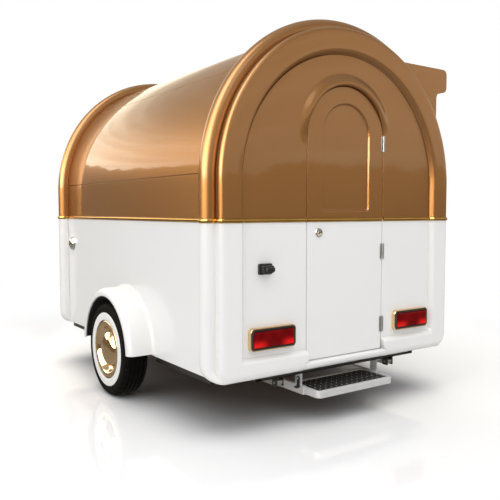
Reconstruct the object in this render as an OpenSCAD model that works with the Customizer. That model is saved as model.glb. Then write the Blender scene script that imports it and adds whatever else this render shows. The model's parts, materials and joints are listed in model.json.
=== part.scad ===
// Towable coffee trailer with a round-topped body, a rear door and a serving hatch.
// Modules work from the rear end face (y = 0, forward is +y, +x is the right side)
// and place() then centres the whole trailer over its footprint.

/* [Body] */
// Width over the end beads
body_w = 2000; // [1900:10:2100]
// Length over the end faces
body_l = 2600; // [2500:10:2800]
// Height of the body's underside above the ground
bottom_z = 310; // [300:1:320]
// Height of the belt line, where the upper shell meets the lower one
belt_z = 1215; // [1180:5:1250]
// Height of the arch centre, where the straight sides end
spring_z = 1440; // [1420:5:1500]
// Thickness of the sandwich walls
wall_t = 30; // [24:1:34]
// How far the end beads stand proud of the side walls
ring_stand = 65; // [60:1:68]
// How far the fenders and the cornice stand out past the end beads
overhang = 110; // [100:1:125]
// Height of the lower seam above the arch centre
seam_lift = 40; // [20:5:60]
// Angle of the upper seam above the horizontal
seam_angle = 45; // [35:1:55]

/* [End walls] */
// Radius of the round bead on each end
bead_r = 70; // [68:1:74]
// Distance of the bead's centre from the end face
bead_y = 95; // [94:1:100]
// Width of the groove between the flat band and the bead
groove_w = 25; // [18:1:30]
// Depth of that groove
groove_d = 30; // [26:1:32]
// Radius of the flat band's outer edge
edge_r = 28; // [20:1:30]
// Width of the flat band
band_w = 126; // [110:1:140]
// Depth of the recess inside the flat band
recess_d = 30; // [20:1:34]
// Width of the bevel round the recess
recess_bevel = 21; // [10:1:26]
// Height of the lower edge of the recess
recess_z = 440; // [430:1:460]
// Radius of the lower corners of the body
corner_r = 110; // [90:1:120]
// Radius along the lower edge of each end
skirt_r = 50; // [30:1:56]
// Height of the belt trim
trim_h = 26; // [20:1:30]
// How far the belt trim stands proud
trim_t = 8; // [5:1:10]

/* [Rear door] */
// Share of the body's width that the door leaf takes
door_share = 0.315; // [0.3:0.005:0.33]
// Gap round the door
door_gap = 4; // [3:0.5:5]
// Height of the door's lower edge
door_z = 370; // [366:1:378]
// Drop from the crown of the recess to the rain hood
door_drop = 143; // [130:1:170]
// Margin beside the sunk arch panel in the door
pane_margin = 122; // [110:1:140]
// Rise from the belt to the lower edge of that panel
pane_rise = 55; // [45:1:75]
// Rise from the centre of the door's arch to the centre of the panel's arch
pane_lift = 18; // [0:1:27]
// Depth of that panel
pane_d = 12; // [8:1:16]
// Width of the rain hood over the door
hood_w = 44; // [30:1:50]
// How far the hood stands proud
hood_t = 18; // [12:1:22]
// Height of each hinge leaf
hinge_h = 100; // [80:1:110]
// Radius of the hinge knuckles
knuckle_r = 6; // [5.5:0.1:6.4]
// Radius of the hinge pins
hinge_pin_r = 3; // [2.5:0.1:3.5]
// Width of each hinge leaf
leaf_w = 32; // [26:1:40]
// Thickness of the hinge leaves
leaf_t = 3; // [2:0.5:4]
// Radius of the lock's escutcheon
lock_r = 28; // [24:1:32]
// Radius of the lock's barrel
lock_barrel_r = 14; // [12:0.5:16]
// Radius of the key plug
lock_plug_r = 8; // [6:0.5:9]
// Height of the lock
lock_z = 1139; // [1100:1:1160]
// Distance of the lock from the door's edge
lock_inset = 90; // [75:1:115]

/* [Serving side] */
// Drop from the crown of the end rings to the top of the cornice
cornice_drop = 150; // [140:1:170]
// Height of the cornice's face
cornice_h = 164; // [150:1:170]
// Radius of the cornice's edges
cornice_r = 38; // [30:1:40]
// Radius of the hollow under the cornice
cove_r = 50; // [40:1:54]
// Rise from the belt to the hatch opening
hatch_rise = 75; // [55:5:95]
// Drop from the cornice to the hatch opening
hatch_drop = 91; // [86:1:116]
// Margin between the hatch opening and the end beads
hatch_margin = 150; // [130:5:180]
// How far the hatch laps over the edge of its opening
hatch_lap = 20; // [14:1:24]
// Thickness of the hatch
hatch_t = 24; // [20:1:28]
// Distance of the strut's hatch pivot from the hatch hinge
strut_arm = 420; // [400:5:440]
// Sideways distance of the strut's wall pivot from the hatch hinge
strut_in = 56; // [52:1:60]
// Height of the hatch hinge above the strut's wall pivot
strut_drop = 56; // [52:1:60]
// Radius of the strut barrels
barrel_r = 11; // [9:0.5:12]
// Radius of the strut rods
rod_r = 5; // [4:0.5:6]
// Height of the counter's top
counter_z = 930; // [880:5:960]
// Depth of the counter
counter_d = 420; // [380:5:440]
// Thickness of the counter's boards
board_t = 30; // [22:1:36]

/* [Wheels] */
// Outer radius of the tyres
tyre_r = 320; // [315:1:326]
// Width of the tyres
tyre_w = 175; // [165:1:180]
// Rounding of the tyre's shoulders
shoulder_r = 30; // [20:1:36]
// Bead seat radius of the rims
rim_r = 182; // [178:1:186]
// Outer radius of the white sidewall rings
whitewall_r = 252; // [240:1:258]
// Radius of the dome on the hub caps
cap_dome_r = 104; // [90:1:116]
// Radius of the stub axles
stub_r = 20; // [16:0.5:24]
// Distance of the axle from the rear end face
axle_y = 1240; // [1200:5:1280]
// Distance of the tyre's outer face inside the fender's lip
wheel_inset = 15; // [14:1:24]
// Radius of the fender's opening
fender_r = 362; // [358:1:372]
// Height of the fender's centre above the axle
fender_rise = 5; // [2:1:8]
// Height of the fender's lower ends
fender_end_z = 342; // [338:1:348]
// Width of the fender's band
fender_w = 55; // [50:1:60]
// Rounding of the fender's outer edge
fender_round = 45; // [36:1:48]
// Thickness of the fenders
fender_t = 10; // [8:1:14]
// Fillet between the fenders and the side walls
fender_fillet = 25; // [18:1:30]

/* [Chassis] */
// Height of the chassis tubes
rail_h = 70; // [60:1:70]
// Width of the chassis tubes
rail_w = 50; // [40:1:60]
// Wall of the chassis tubes
rail_t = 4; // [3:0.5:5]
// Height of the underside of the chassis tubes
rail_z = 285; // [280:1:290]
// Distance of the main rails inside the walls
rail_inset = 265; // [225:5:305]
// How far the drawbar reaches under the body
drawbar_tuck = 560; // [500:5:620]
// Distance from the front end face to the tip of the coupling
nose_reach = 1200; // [1100:5:1300]
// Length of the coupling head
coupling_l = 230; // [210:1:250]
// Radius of the tow ball the coupling takes
ball_r = 25; // [25:0.5:30]
// Size of the torsion axle's square tube
axle_tube = 70; // [60:1:76]
// Length of the swing arms
arm_l = 140; // [120:1:160]
// Radius of the jockey wheel's outer tube
jockey_r = 24; // [22:0.5:26]
// Sideways distance of the jockey wheel
jockey_x = 185; // [182:1:200]
// Distance of the jockey wheel behind the tip of the coupling
jockey_back = 420; // [400:5:460]
// Radius of the jockey wheel
jockey_wheel_r = 100; // [90:1:110]
// Length of the steady legs
steady_l = 320; // [300:5:340]

/* [Step] */
// How much wider the step is than the door
step_extra = 6; // [0:1:10]
// How far the step stands out behind the rear end face
step_out = 85; // [80:1:100]
// Length of the step, front to back
step_l = 285; // [270:1:300]
// Height of the step's top
step_z = 205; // [195:1:210]
// Height of the step's side bars
step_h = 42; // [36:1:46]
// Width of the step's bars
step_bar = 25; // [20:1:30]
// Rounding of the step's outer corners
step_round = 36; // [30:1:40]
// Rows of studs on the tread
stud_rows = 5; // [3:1:6]
// Studs in each row
stud_count = 13; // [8:1:14]

/* [Lamps and fittings] */
// Share of the panel beside the door that each tail lamp takes
lamp_share = 0.702; // [0.65:0.01:0.72]
// Height of the tail lamps
lamp_h = 131; // [120:1:136]
// How far the tail lamps stand proud
lamp_t = 40; // [30:1:44]
// Width of the lamp's bezel
bezel_w = 14; // [10:1:16]
// Width of the gasket inside the bezel
gasket_w = 6; // [4:1:8]
// Margin between each lamp and the recess
lamp_margin = 37.5; // [30:0.5:45]
// Height of the lamps' centres
lamp_z = 544; // [530:1:550]
// Radius of the filler's flange
filler_r = 60; // [54:1:64]
// Radius of the filler's neck
filler_neck_r = 42; // [38:1:44]
// Distance of the filler behind the front end face
filler_y = 270; // [262:1:300]
// Height of the filler
filler_z = 1000; // [960:5:1050]

/* [Fits] */
// Radial clearance of a pin in its bore
pin_fit = 0.05; // [0.02:0.01:0.1]
// Clearance between pieces that slide
slide_fit = 0.5; // [0.3:0.1:0.8]
// Clearance between panels fitted edge to edge
seam = 0.3; // [0.2:0.1:0.8]
// Overlap that makes joined shapes one solid
bite = 1; // [0.5:0.5:2]

/* [Hidden] */
$fn = 96;

bronze = [0.55, 0.39, 0.24];
white = [0.92, 0.92, 0.91];
gold = [0.80, 0.62, 0.27];
black = [0.08, 0.08, 0.08];
red = [0.55, 0.04, 0.05];
steel = [0.72, 0.73, 0.74];
alloy = [0.80, 0.81, 0.82];
zinc = [0.60, 0.62, 0.64];
board = [0.62, 0.45, 0.30];

nose_y = body_l + nose_reach;
mid_y = (nose_y - step_out) / 2;

ring_r = body_w / 2;
reach_x = ring_r + overhang;
portal_x = ring_r;
side_x = ring_r - ring_stand;
inner_x = side_x - wall_t;
bead_c = ring_r - bead_r;
band_r = bead_c - groove_w;
recess_r = band_r - band_w;
panel_back = recess_d + wall_t;
side_y0 = bead_y + bead_r;
side_l = body_l - 2 * side_y0;
side_lift = 20;
side_bottom = bottom_z + side_lift;
floor_t = 30;
floor_z = rail_z + rail_h;
floor_top = floor_z + floor_t;
seam_rise = asin(seam_lift / side_x);
cornice_z = spring_z + ring_r - cornice_drop;
hatch_z0 = belt_z + hatch_rise;
hatch_z1 = cornice_z - cornice_h - hatch_drop;
roof_end = asin((cornice_z - spring_z) / side_x);
seam_turn = asin(seam / side_x);
portal_gap = 2;
portal_z0 = belt_z - trim_h / 2 - portal_gap;

door_w = body_w * door_share;
door_half = door_w / 2;
frame_half = door_half + door_gap;
door_arch_z = spring_z + recess_r - frame_half - hood_w - door_drop;
pane_w = door_w - 2 * pane_margin;
pane_z = belt_z + pane_rise;
pane_arch_z = door_arch_z + pane_lift;
lock_x = door_half - lock_inset;
hinge_x = door_half + door_gap / 2;
knuckle_stand = 0.5;
knuckle_gap = 0.5;
leaf_gap = 1;
pin_end = 4;
lock_face_t = 8;
lock_tail = 6;
hinge_y = recess_d - knuckle_r - knuckle_stand;
low_hinge_rise = 162;
mid_hinge_drop = 207;
top_hinge_drop = 15;
hinge_heights = [door_z + low_hinge_rise, belt_z - mid_hinge_drop, door_arch_z - top_hinge_drop];
sill_lap = 22;
sill_half = frame_half + sill_lap;
trim_gap = 4;
sill_top = door_z - door_gap;
sill_lift = 6;

hinge_out = 10;
hinge_up = 9;
hatch_hinge_x = portal_x + hinge_out;
hatch_hinge_z = hatch_z1 + hatch_lap + hinge_up;
hatch_y0 = side_y0 + hatch_margin;
hatch_l = body_l - 2 * hatch_y0;
hinge_rod_r = 4;
hinge_tube_r = 8;
hinge_parts = 5;
strut_y = 34;
strut_eye_t = 12;
strut_pin_r = 5;
wall_pivot = [hatch_hinge_x - strut_in, hatch_hinge_z - strut_drop];
strut_off = 36;
hatch_pivot = [hatch_hinge_x - strut_off, hatch_hinge_z - strut_arm];
strut_reach = [hatch_pivot[0] - wall_pivot[0], hatch_pivot[1] - wall_pivot[1]];
strut_len = norm(strut_reach);
strut_lean = atan2(strut_reach[0], strut_reach[1]);
barrel_share = 0.6;
barrel_l = strut_len * barrel_share;
strut_base = 40;

tyre_x = reach_x - wheel_inset - tyre_w / 2;
axle_z = tyre_r;
fender_z = axle_z + fender_rise;
tube_y = axle_y + arm_l;
tube_z = rail_z - axle_tube / 2;
well_room = 60;
well_x = tyre_x - tyre_w / 2 - well_room;
well_end = 4;
well_half = sqrt(fender_r * fender_r - pow(side_bottom - fender_z, 2)) + well_end;

rail_x = inner_x - rail_inset;
drawbar_h = 60;
drawbar_w = 60;
drawbar_z = rail_z - drawbar_h;
drawbar_root_y = body_l - drawbar_tuck;
drawbar_tip_y = nose_y - coupling_l;
nose_tube_l = 370;
drawbar_apex_y = drawbar_tip_y - nose_tube_l;
nose_w = 80;
coupling_z = drawbar_z + drawbar_h;
lever_share = 0.62;
lever_rise = 78;
lever_pin_r = 6;
lever_y = nose_y - lever_share * coupling_l;
lever_z = coupling_z + lever_rise;
jockey_y = nose_y - jockey_back;
jockey_axle_z = jockey_wheel_r;
fork_room = 5;
jockey_fork_z = 2 * jockey_wheel_r + fork_room;
jockey_trail = 30;
jockey_axle_r = 8;
fork_t = 6;
fork_pin_l = 34;
jockey_t = 3;
jockey_screw_r = 8;
jockey_foot_t = 15;
jockey_tail = 3;
jockey_tube_rise = 430;
jockey_nut_drop = 175;
jockey_arm_z = coupling_z + jockey_foot_t;
jockey_z0 = jockey_arm_z - jockey_tail;
jockey_z1 = drawbar_z + jockey_tube_rise;
jockey_nut_z = jockey_z1 - jockey_nut_drop;

step_w = door_w + step_extra;
step_half = step_w / 2;
guide_y0 = 50;
guide_l = 380;
guide_t = 4;
hanger_w = 60;
hanger_in = 15;
hanger_end = 20;
latch_drop = 34;
latch_gap = 0.5;
latch_stud_l = 9;
latch_y = guide_y0 + hanger_in + hanger_w / 2;
latch_z = rail_z - latch_drop;
latch_pin_r = 5;

lamp_w = lamp_share * (recess_r - frame_half);
lamp_x = recess_r - lamp_margin - lamp_w / 2;
plate_lamp_in = 152;
plate_lamp_up = 396;
plate_lamp_x = recess_r - plate_lamp_in;
plate_lamp_z = lamp_z + plate_lamp_up;
lamp_corner = 24;
bezel_inner_r = 18;
gasket_stand = 2;
gasket_inner_r = 14;
lens_step = 5;
lens_top_r = 10;
neck_t = 4;
bezel_t = lamp_t - 10;
flange_t = 8;
whitewall_t = 3;
bead_lip = 18;
seat_in = 22;
rim_lip = 8;
tread_drop = 16;
tread_t = 11;
stub_spare = 30;
filler_pos_y = body_l - filler_y;
steady_off = 9;
steady_x = (rail_x + step_half) / 2 - steady_off;
steady_y = 110;
steady_z = 246;
steady_w = 40;
steady_pin_r = 8;

// Moves a piece from the rear-face frame to the centred frame
module place() {
  translate([0, -mid_y, 0]) children();
}

// Repeats a piece on both sides
module both_sides() {
  for (side = [0, 1]) mirror([side, 0, 0]) children();
}

// Turns a piece made at the rear round to the front
module at_front() {
  translate([0, body_l, 0]) mirror([0, 1, 0]) children();
}

// Revolves a (radius, depth) profile round the y axis, from the +x side upwards
module arch(angle, start = 0) {
  mirror([0, 1, 0]) rotate([90, 0, 0]) rotate([0, 0, start]) rotate_extrude(angle = angle) children();
}

// Extrudes an (x, z) outline along +y
module along_y(length) {
  translate([0, length, 0]) rotate([90, 0, 0]) linear_extrude(length) children();
}

// Extrudes a (y, z) outline along +x
module along_x(length) {
  rotate([90, 0, 90]) linear_extrude(length) children();
}

// Square with round corners, centred
module round_rect(w, h, r) {
  square([w - 2 * r, h], center = true);
  square([w, h - 2 * r], center = true);
  for (sx = [-1, 1]) for (sy = [-1, 1]) translate([sx * (w / 2 - r), sy * (h / 2 - r)]) circle(r);
}

// Upright outline with a half-round top, from z0 to the arch centre
module arch_outline(half, z0, arch_z) {
  translate([-half, z0]) square([2 * half, arch_z - z0]);
  translate([0, arch_z]) circle(half);
}

// Rod between two heights
module post(r, z0, z1) {
  translate([0, 0, z0]) cylinder(r = r, h = z1 - z0);
}

// Box tube along y, open at both ends
module box_tube_y(w, h, l, t) {
  along_y(l) difference() {
    square([w, h], center = true);
    square([w - 2 * t, h - 2 * t], center = true);
  }
}

// Section through the flat band of an end ring: radius across, depth from the end face along
module band_section() {
  polygon([
    [recess_r, panel_back],
    [recess_r, recess_d],
    [recess_r + recess_bevel, 0],
    [band_r - edge_r, 0],
    [band_r, edge_r],
    [band_r, panel_back]
  ]);
  translate([band_r - edge_r, edge_r]) circle(edge_r);
}

// Section through the bead of an end ring, from the given radius outwards
module bead_section(from_r) {
  translate([from_r, groove_d]) square([bead_c - from_r, bead_y - groove_d]);
  intersection() {
    translate([bead_c, bead_y]) circle(bead_r);
    translate([from_r, 0]) square([ring_r, 2 * side_y0]);
  }
}

module ring_section() {
  band_section();
  bead_section(band_r - bite);
}

// Sweeps a section up the legs from the belt and round the half circle above
module over_arch() {
  translate([0, 0, spring_z]) arch(180) children();
  both_sides() translate([0, 0, belt_z]) linear_extrude(spring_z - belt_z) children();
}

// Cuts a quarter-round edge along x at the foot of an end
module skirt_round() {
  translate([-ring_r - bite, 0, bottom_z]) along_x(body_w + 2 * bite) difference() {
    translate([-bite, -bite]) square(skirt_r + bite);
    translate([skirt_r, skirt_r]) circle(skirt_r);
  }
}

// Cuts a quarter-round edge along y at the foot of each side
module corner_round() {
  both_sides() translate([ring_r - corner_r, -bite, bottom_z]) along_y(side_y0 + 2 * bite) difference() {
    translate([0, -bite]) square([corner_r + bite, corner_r + bite]);
    translate([0, corner_r]) circle(corner_r);
  }
}

// Lower ring: two legs joined by a skirt
module lower_ring() {
  difference() {
    union() {
      both_sides() translate([0, 0, bottom_z]) linear_extrude(belt_z - bottom_z) ring_section();
      translate([-recess_r - recess_bevel, 0, 0]) along_x(2 * (recess_r + recess_bevel)) polygon([
        [0, bottom_z],
        [0, recess_z - recess_bevel],
        [recess_d, recess_z],
        [panel_back, recess_z],
        [panel_back, bottom_z]
      ]);
    }
    skirt_round();
    corner_round();
  }
}

module chassis_frame() color(black) place() {
  mid_z = rail_z + rail_h / 2;
  rail_end = 65;
  first_cross = 90;
  last_cross = 115;
  span_end = 20;
  cross_ys = [first_cross, tube_y, body_l - last_cross];
  cross_half = rail_x - rail_w / 2;
  jack_size = [90, 150, 40];
  jack_in = 60;
  jack_ahead = 30;
  ear_t = 6;
  ear_gap = 0.5;
  ear_l = 50;
  ear_foot = 22;
  both_sides() {
    translate([rail_x, rail_end, mid_z]) box_tube_y(rail_w, rail_h, body_l - 2 * rail_end, rail_t);
    // Edge rails stop at the wheel wells
    for (span = [[side_y0, axle_y - well_half - span_end], [axle_y + well_half + span_end, body_l - side_y0]]) {
      translate([inner_x - rail_w / 2, span[0], mid_z]) box_tube_y(rail_w, rail_h, span[1] - span[0], rail_t);
      for (end = [span[0] + span_end, span[1] - rail_w - span_end])
        translate([rail_x + rail_w / 2, end, rail_z])
          cube([inner_x - rail_w - rail_x - rail_w / 2, rail_w, rail_h]);
    }
    // Jacking bracket ahead of the wheel
    translate([inner_x - rail_w - jack_in, axle_y + well_half + jack_ahead, rail_z - jack_size[2]]) cube(jack_size);
  }
  for (y = cross_ys) translate([-cross_half, y - rail_w / 2, rail_z]) cube([2 * cross_half, rail_w, rail_h]);
  // Ears that carry the rear steady legs
  both_sides() for (x = [steady_x - steady_w / 2 - ear_t - ear_gap, steady_x + steady_w / 2 + ear_gap])
    translate([x, steady_y - ear_l / 2, steady_z - ear_foot]) difference() {
      cube([ear_t, ear_l, rail_z - steady_z + ear_foot]);
      translate([-bite, ear_l / 2, ear_foot]) rotate([0, 90, 0])
        cylinder(r = steady_pin_r + pin_fit, h = ear_t + 2 * bite);
    }
}

module drawbar() color(black) place() {
  run = [rail_x - drawbar_w / 2, drawbar_apex_y - drawbar_root_y];
  yaw = atan2(run[0], run[1]);
  reach = drawbar_apex_y - drawbar_root_y;
  spare = 100;
  nose_lap = 60;
  eye_t = 8;
  eye_l = 60;
  eye_h = 34;
  eye_back = 300;
  eye_r = 10;
  difference() {
    union() {
      both_sides() intersection() {
        translate([rail_x, drawbar_root_y, drawbar_z]) rotate([0, 0, yaw])
          translate([-drawbar_w / 2, -spare, 0]) cube([drawbar_w, norm(run) + 3 * spare, drawbar_h]);
        translate([0, drawbar_root_y, drawbar_z - bite]) cube([rail_x + drawbar_w, reach, drawbar_h + 2 * bite]);
      }
      // Nose tube under the coupling
      translate([-nose_w / 2, drawbar_apex_y - nose_lap, drawbar_z])
        cube([nose_w, drawbar_tip_y - drawbar_apex_y + nose_lap, drawbar_h]);
      // Eye for the safety cable
      translate([-eye_t, drawbar_tip_y - eye_back, drawbar_z - eye_h]) cube([eye_t, eye_l, eye_h + bite]);
    }
    translate([-eye_t - bite, drawbar_tip_y - eye_back + eye_l / 2, drawbar_z - eye_h / 2]) rotate([0, 90, 0])
      cylinder(r = eye_r, h = eye_t + 2 * bite);
  }
}

module axle_beam() color(zinc) place() {
  shaft_l = 45;
  shaft_r = 30;
  arm_t = 25;
  arm_h = 64;
  shaft_boss_r = 38;
  stub_boss_r = 33;
  tube_in = 70;
  tube_half = well_x - tube_in;
  arm_x = tube_half + shaft_l;
  lean = atan2(axle_z - tube_z, arm_l);
  arm_run = norm([arm_l, axle_z - tube_z]);
  translate([-tube_half, tube_y, tube_z]) rotate([0, 90, 0]) rotate([0, 0, 90])
    linear_extrude(2 * tube_half) square(axle_tube, center = true);
  both_sides() {
    translate([tube_half - bite, tube_y, tube_z]) rotate([0, 90, 0]) cylinder(r = shaft_r, h = shaft_l + bite);
    // Swing arm from the torsion shaft back to the stub
    translate([arm_x, tube_y, tube_z]) rotate([-lean, 0, 0]) translate([-arm_t / 2, -arm_run, -arm_h / 2])
      cube([arm_t, arm_run, arm_h]);
    translate([arm_x - arm_t / 2, tube_y, tube_z]) rotate([0, 90, 0]) cylinder(r = shaft_boss_r, h = arm_t);
    translate([arm_x - arm_t / 2, axle_y, axle_z]) rotate([0, 90, 0]) cylinder(r = stub_boss_r, h = arm_t);
    translate([arm_x, axle_y, axle_z]) rotate([0, 90, 0]) cylinder(r = stub_r, h = tyre_x + stub_spare - arm_x);
  }
}

module floor_panel() color(board) place() {
  difference() {
    translate([-inner_x + seam, panel_back + seam, floor_z])
      cube([2 * (inner_x - seam), body_l - 2 * (panel_back + seam), floor_t]);
    both_sides() translate([well_x - 6 - seam, axle_y - well_half - 2, floor_z - bite])
      cube([wall_t + inner_x, 2 * well_half + 4, floor_t + 2 * bite]);
    both_sides() for (end = [0, 1]) translate([0, end * body_l, 0]) mirror([0, end, 0])
      translate([band_r - bite - seam, 0, floor_z - bite])
        cube([wall_t + inner_x, side_y0 + seam, floor_t + 2 * bite]);
  }
}

module rear_lower_ring() color(white) place() difference() {
  lower_ring();
  translate([-frame_half, -bite, bottom_z - bite]) cube([2 * frame_half, panel_back + 2 * bite, belt_z]);
  translate([-sill_half, -bite, bottom_z - bite])
    cube([2 * sill_half, panel_back + 2 * bite, sill_top + seam - bottom_z + bite]);
}

module rear_arch_ring() color(bronze) place() over_arch() band_section();

module rear_arch_bead() color(bronze) place() over_arch() bead_section(band_r + seam);

module front_lower_shell() color(white) place() at_front() {
  lower_ring();
  translate([-recess_r - bite, recess_d, recess_z - bite])
    cube([2 * (recess_r + bite), wall_t, belt_z - recess_z + bite]);
}

module front_upper_shell() color(bronze) place() at_front() {
  over_arch() ring_section();
  translate([0, recess_d, 0]) along_y(wall_t) end_outline(recess_r + bite);
}

module lower_panel(top_z) {
  difference() {
    translate([inner_x, side_y0, side_bottom]) cube([wall_t, side_l, top_z - side_bottom]);
    translate([inner_x - bite, axle_y, fender_z]) rotate([0, 90, 0]) cylinder(r = fender_r + 20, h = wall_t + 2 * bite);
  }
}

module left_lower_panel() color(white) place() difference() {
  mirror([1, 0, 0]) lower_panel(belt_z);
  translate([-side_x - bite, filler_pos_y, filler_z]) rotate([0, 90, 0]) cylinder(r = filler_neck_r + 4, h = wall_t + 2 * bite);
}

module right_lower_panel() color(white) place() lower_panel(portal_z0);

// Fender section: radius across, sideways position along
module fender_section() {
  outer_r = fender_r + fender_w;
  round_x = reach_x - fender_round;
  round_c = outer_r - fender_round;
  difference() {
    union() {
      translate([fender_r, side_x]) square([fender_w, round_x - side_x]);
      translate([fender_r, side_x]) square([fender_w - fender_round, reach_x - side_x]);
      translate([round_c, round_x]) circle(fender_round);
      difference() {
        translate([outer_r - bite, side_x]) square([fender_fillet + bite, fender_fillet]);
        translate([outer_r + fender_fillet, side_x + fender_fillet]) circle(fender_fillet);
      }
    }
    translate([0, side_x - bite]) square([outer_r - fender_t, round_x - side_x + bite]);
    translate([0, side_x - bite]) square([round_c, reach_x - fender_t - side_x + bite]);
    translate([round_c, round_x]) circle(fender_round - fender_t);
  }
}

module fenders() color(white) place() both_sides() intersection() {
  translate([0, axle_y, fender_z]) rotate([0, 90, 0]) rotate([0, 0, 90]) rotate_extrude(angle = 180) fender_section();
  translate([side_x, axle_y - fender_r - 2 * fender_w, fender_end_z])
    cube([reach_x, 2 * (fender_r + 2 * fender_w), fender_r + 2 * fender_w]);
}

module wheel_boxes() color(black) place() both_sides() intersection() {
  translate([well_x - 6, axle_y, fender_z]) rotate([0, 90, 0]) difference() {
    cylinder(r = fender_r - 1, h = side_x - well_x + 6 - bite);
    translate([0, 0, 6]) cylinder(r = fender_r - 7, h = side_x);
  }
  translate([0, axle_y - fender_r, floor_z]) cube([reach_x, 2 * fender_r, fender_r]);
}

// Curved shell of the roof between two angles above the horizontal on the +x side
module vault(a0, a1) {
  translate([0, side_y0, spring_z]) arch(a1 - a0, a0) translate([inner_x, 0]) square([wall_t, side_l]);
}

module left_upper_panel() color(bronze) place() mirror([1, 0, 0]) {
  translate([inner_x, side_y0, belt_z]) cube([wall_t, side_l, spring_z - belt_z]);
  vault(0, seam_rise);
}

module vault_panel() color(bronze) place() mirror([1, 0, 0]) vault(seam_rise + seam_turn, seam_angle);

module roof_panel() color(bronze) place() vault(roof_end, 180 - seam_angle - seam_turn);

// Outline of the serving wall and its cornice, from the roof's edge outwards
module portal_outline() {
  roof_x = side_x * cos(roof_end);
  cove_z = cornice_z - cornice_h;
  translate([roof_x, portal_z0]) square([portal_x - roof_x, cornice_z - portal_z0]);
  difference() {
    translate([portal_x - bite, cove_z - cove_r]) square([cove_r + bite, cove_r + bite]);
    translate([portal_x + cove_r, cove_z - cove_r]) circle(cove_r);
  }
  translate([(portal_x - cornice_r + reach_x) / 2, cornice_z - cornice_h / 2])
    round_rect(reach_x - portal_x + cornice_r, cornice_h, cornice_r);
  translate([portal_x - cornice_r - bite, cove_z]) square([2 * cornice_r + bite, cornice_h]);
}

module serving_portal() color(bronze) place() difference() {
  translate([0, side_y0, 0]) along_y(side_l) portal_outline();
  // Hollow behind the wall, open to the cabin, between the two gable plates
  translate([-bite, side_y0 + wall_t, portal_z0 + wall_t])
    cube([portal_x - wall_t + bite, side_l - 2 * wall_t, cornice_z - portal_z0 - 2 * wall_t]);
  translate([-bite, side_y0 - bite, portal_z0 - bite])
    cube([inner_x + bite, side_l + 2 * bite, spring_z - portal_z0 + bite]);
  // The gable plates stop behind the beads of the rings
  translate([0, side_y0 - bite, portal_z0 + wall_t]) cube([bead_c, side_l + 2 * bite, spring_z - portal_z0 - wall_t]);
  translate([0, side_y0 - bite, spring_z]) rotate([-90, 0, 0]) cylinder(r = bead_c, h = side_l + 2 * bite);
  translate([0, hatch_y0, hatch_z0]) cube([reach_x, hatch_l, hatch_z1 - hatch_z0]);
}

// Outline of an end wall's upper half, up to the given half width
module end_outline(half) {
  translate([-half, belt_z]) square([2 * half, spring_z - belt_z]);
  intersection() {
    translate([0, spring_z]) circle(half);
    translate([-half, spring_z - bite]) square([2 * half, half + bite]);
  }
}

module rear_upper_panel() color(bronze) place() {
  hood_r = frame_half + hood_w;
  translate([0, recess_d, 0]) along_y(wall_t) difference() {
    end_outline(recess_r - seam);
    arch_outline(frame_half, belt_z - bite, door_arch_z);
  }
  // Rain hood, proudest along its inner edge
  translate([0, recess_d, door_arch_z]) arch(170, 14) polygon([
    [frame_half + bite, bite],
    [frame_half + bite, -hood_t],
    [frame_half + hood_w / 4, -hood_t],
    [hood_r, 0],
    [hood_r, bite]
  ]);
}

module rear_lower_panels() color(white) place() both_sides()
  translate([frame_half, recess_d, recess_z]) cube([recess_r - seam - frame_half, wall_t, belt_z - recess_z]);

module rear_sill() color(white) place() {
  nose_r = (sill_top - bottom_z - sill_lift) / 2;
  translate([-sill_half, 0, bottom_z + sill_lift]) along_x(2 * sill_half) {
    translate([nose_r, nose_r]) circle(nose_r);
    translate([nose_r, 0]) square([panel_back - nose_r - seam, 2 * nose_r]);
  }
}

// Half plan of the body at the belt, grown outwards by g
module belt_plan(start_x, wall_x, g) {
  polygon([
    [start_x, recess_d - g],
    [recess_r - 0.6 * g, recess_d - g],
    [recess_r + recess_bevel - 0.6 * g, -g],
    [band_r - edge_r, -g],
    [band_r - edge_r, panel_back],
    [start_x, panel_back]
  ]);
  translate([band_r - edge_r, edge_r]) circle(edge_r + g);
  translate([band_r - edge_r, edge_r]) square([edge_r + g, groove_d]);
  translate([band_r - edge_r, groove_d - g]) square([groove_w + edge_r, bead_y]);
  translate([bead_c, bead_y]) circle(bead_r + g);
  translate([bead_c - bead_r, side_y0 - (wall_x > side_x ? g : 0)])
    square([wall_x + g - bead_c + bead_r, body_l / 2 - side_y0 + g]);
}

// Strip of belt trim round one quarter of the body
module belt_quarter(start_x, wall_x) {
  translate([0, 0, belt_z - trim_h / 2]) linear_extrude(trim_h) intersection() {
    difference() {
      belt_plan(start_x, wall_x, trim_t);
      belt_plan(start_x - bite, wall_x, 0);
      translate([start_x - bite, panel_back - bite]) square([bead_c - start_x + bite, body_l]);
    }
    translate([start_x, -2 * trim_t]) square([ring_r + reach_x, body_l / 2 + 2 * trim_t]);
  }
}

module belt_trim() color(gold) place() {
  belt_quarter(frame_half + trim_gap, portal_x);
  mirror([1, 0, 0]) belt_quarter(frame_half, side_x);
  at_front() belt_quarter(0, portal_x);
  at_front() mirror([1, 0, 0]) belt_quarter(0, side_x);
}

// Places a piece on both tail lamps, facing the rear
module at_lamps() {
  both_sides() translate([lamp_x, recess_d, lamp_z]) rotate([90, 0, 0]) children();
}

module lamp_bezels() color(gold) place() at_lamps() linear_extrude(bezel_t) difference() {
  round_rect(lamp_w, lamp_h, lamp_corner);
  round_rect(lamp_w - 2 * bezel_w, lamp_h - 2 * bezel_w, bezel_inner_r);
}

module lamp_gaskets() color(black) place() at_lamps() linear_extrude(bezel_t + gasket_stand) difference() {
  outer = bezel_w + seam;
  inner = bezel_w + gasket_w;
  round_rect(lamp_w - 2 * outer, lamp_h - 2 * outer, bezel_inner_r - seam);
  round_rect(lamp_w - 2 * inner, lamp_h - 2 * inner, gasket_inner_r);
}

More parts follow.
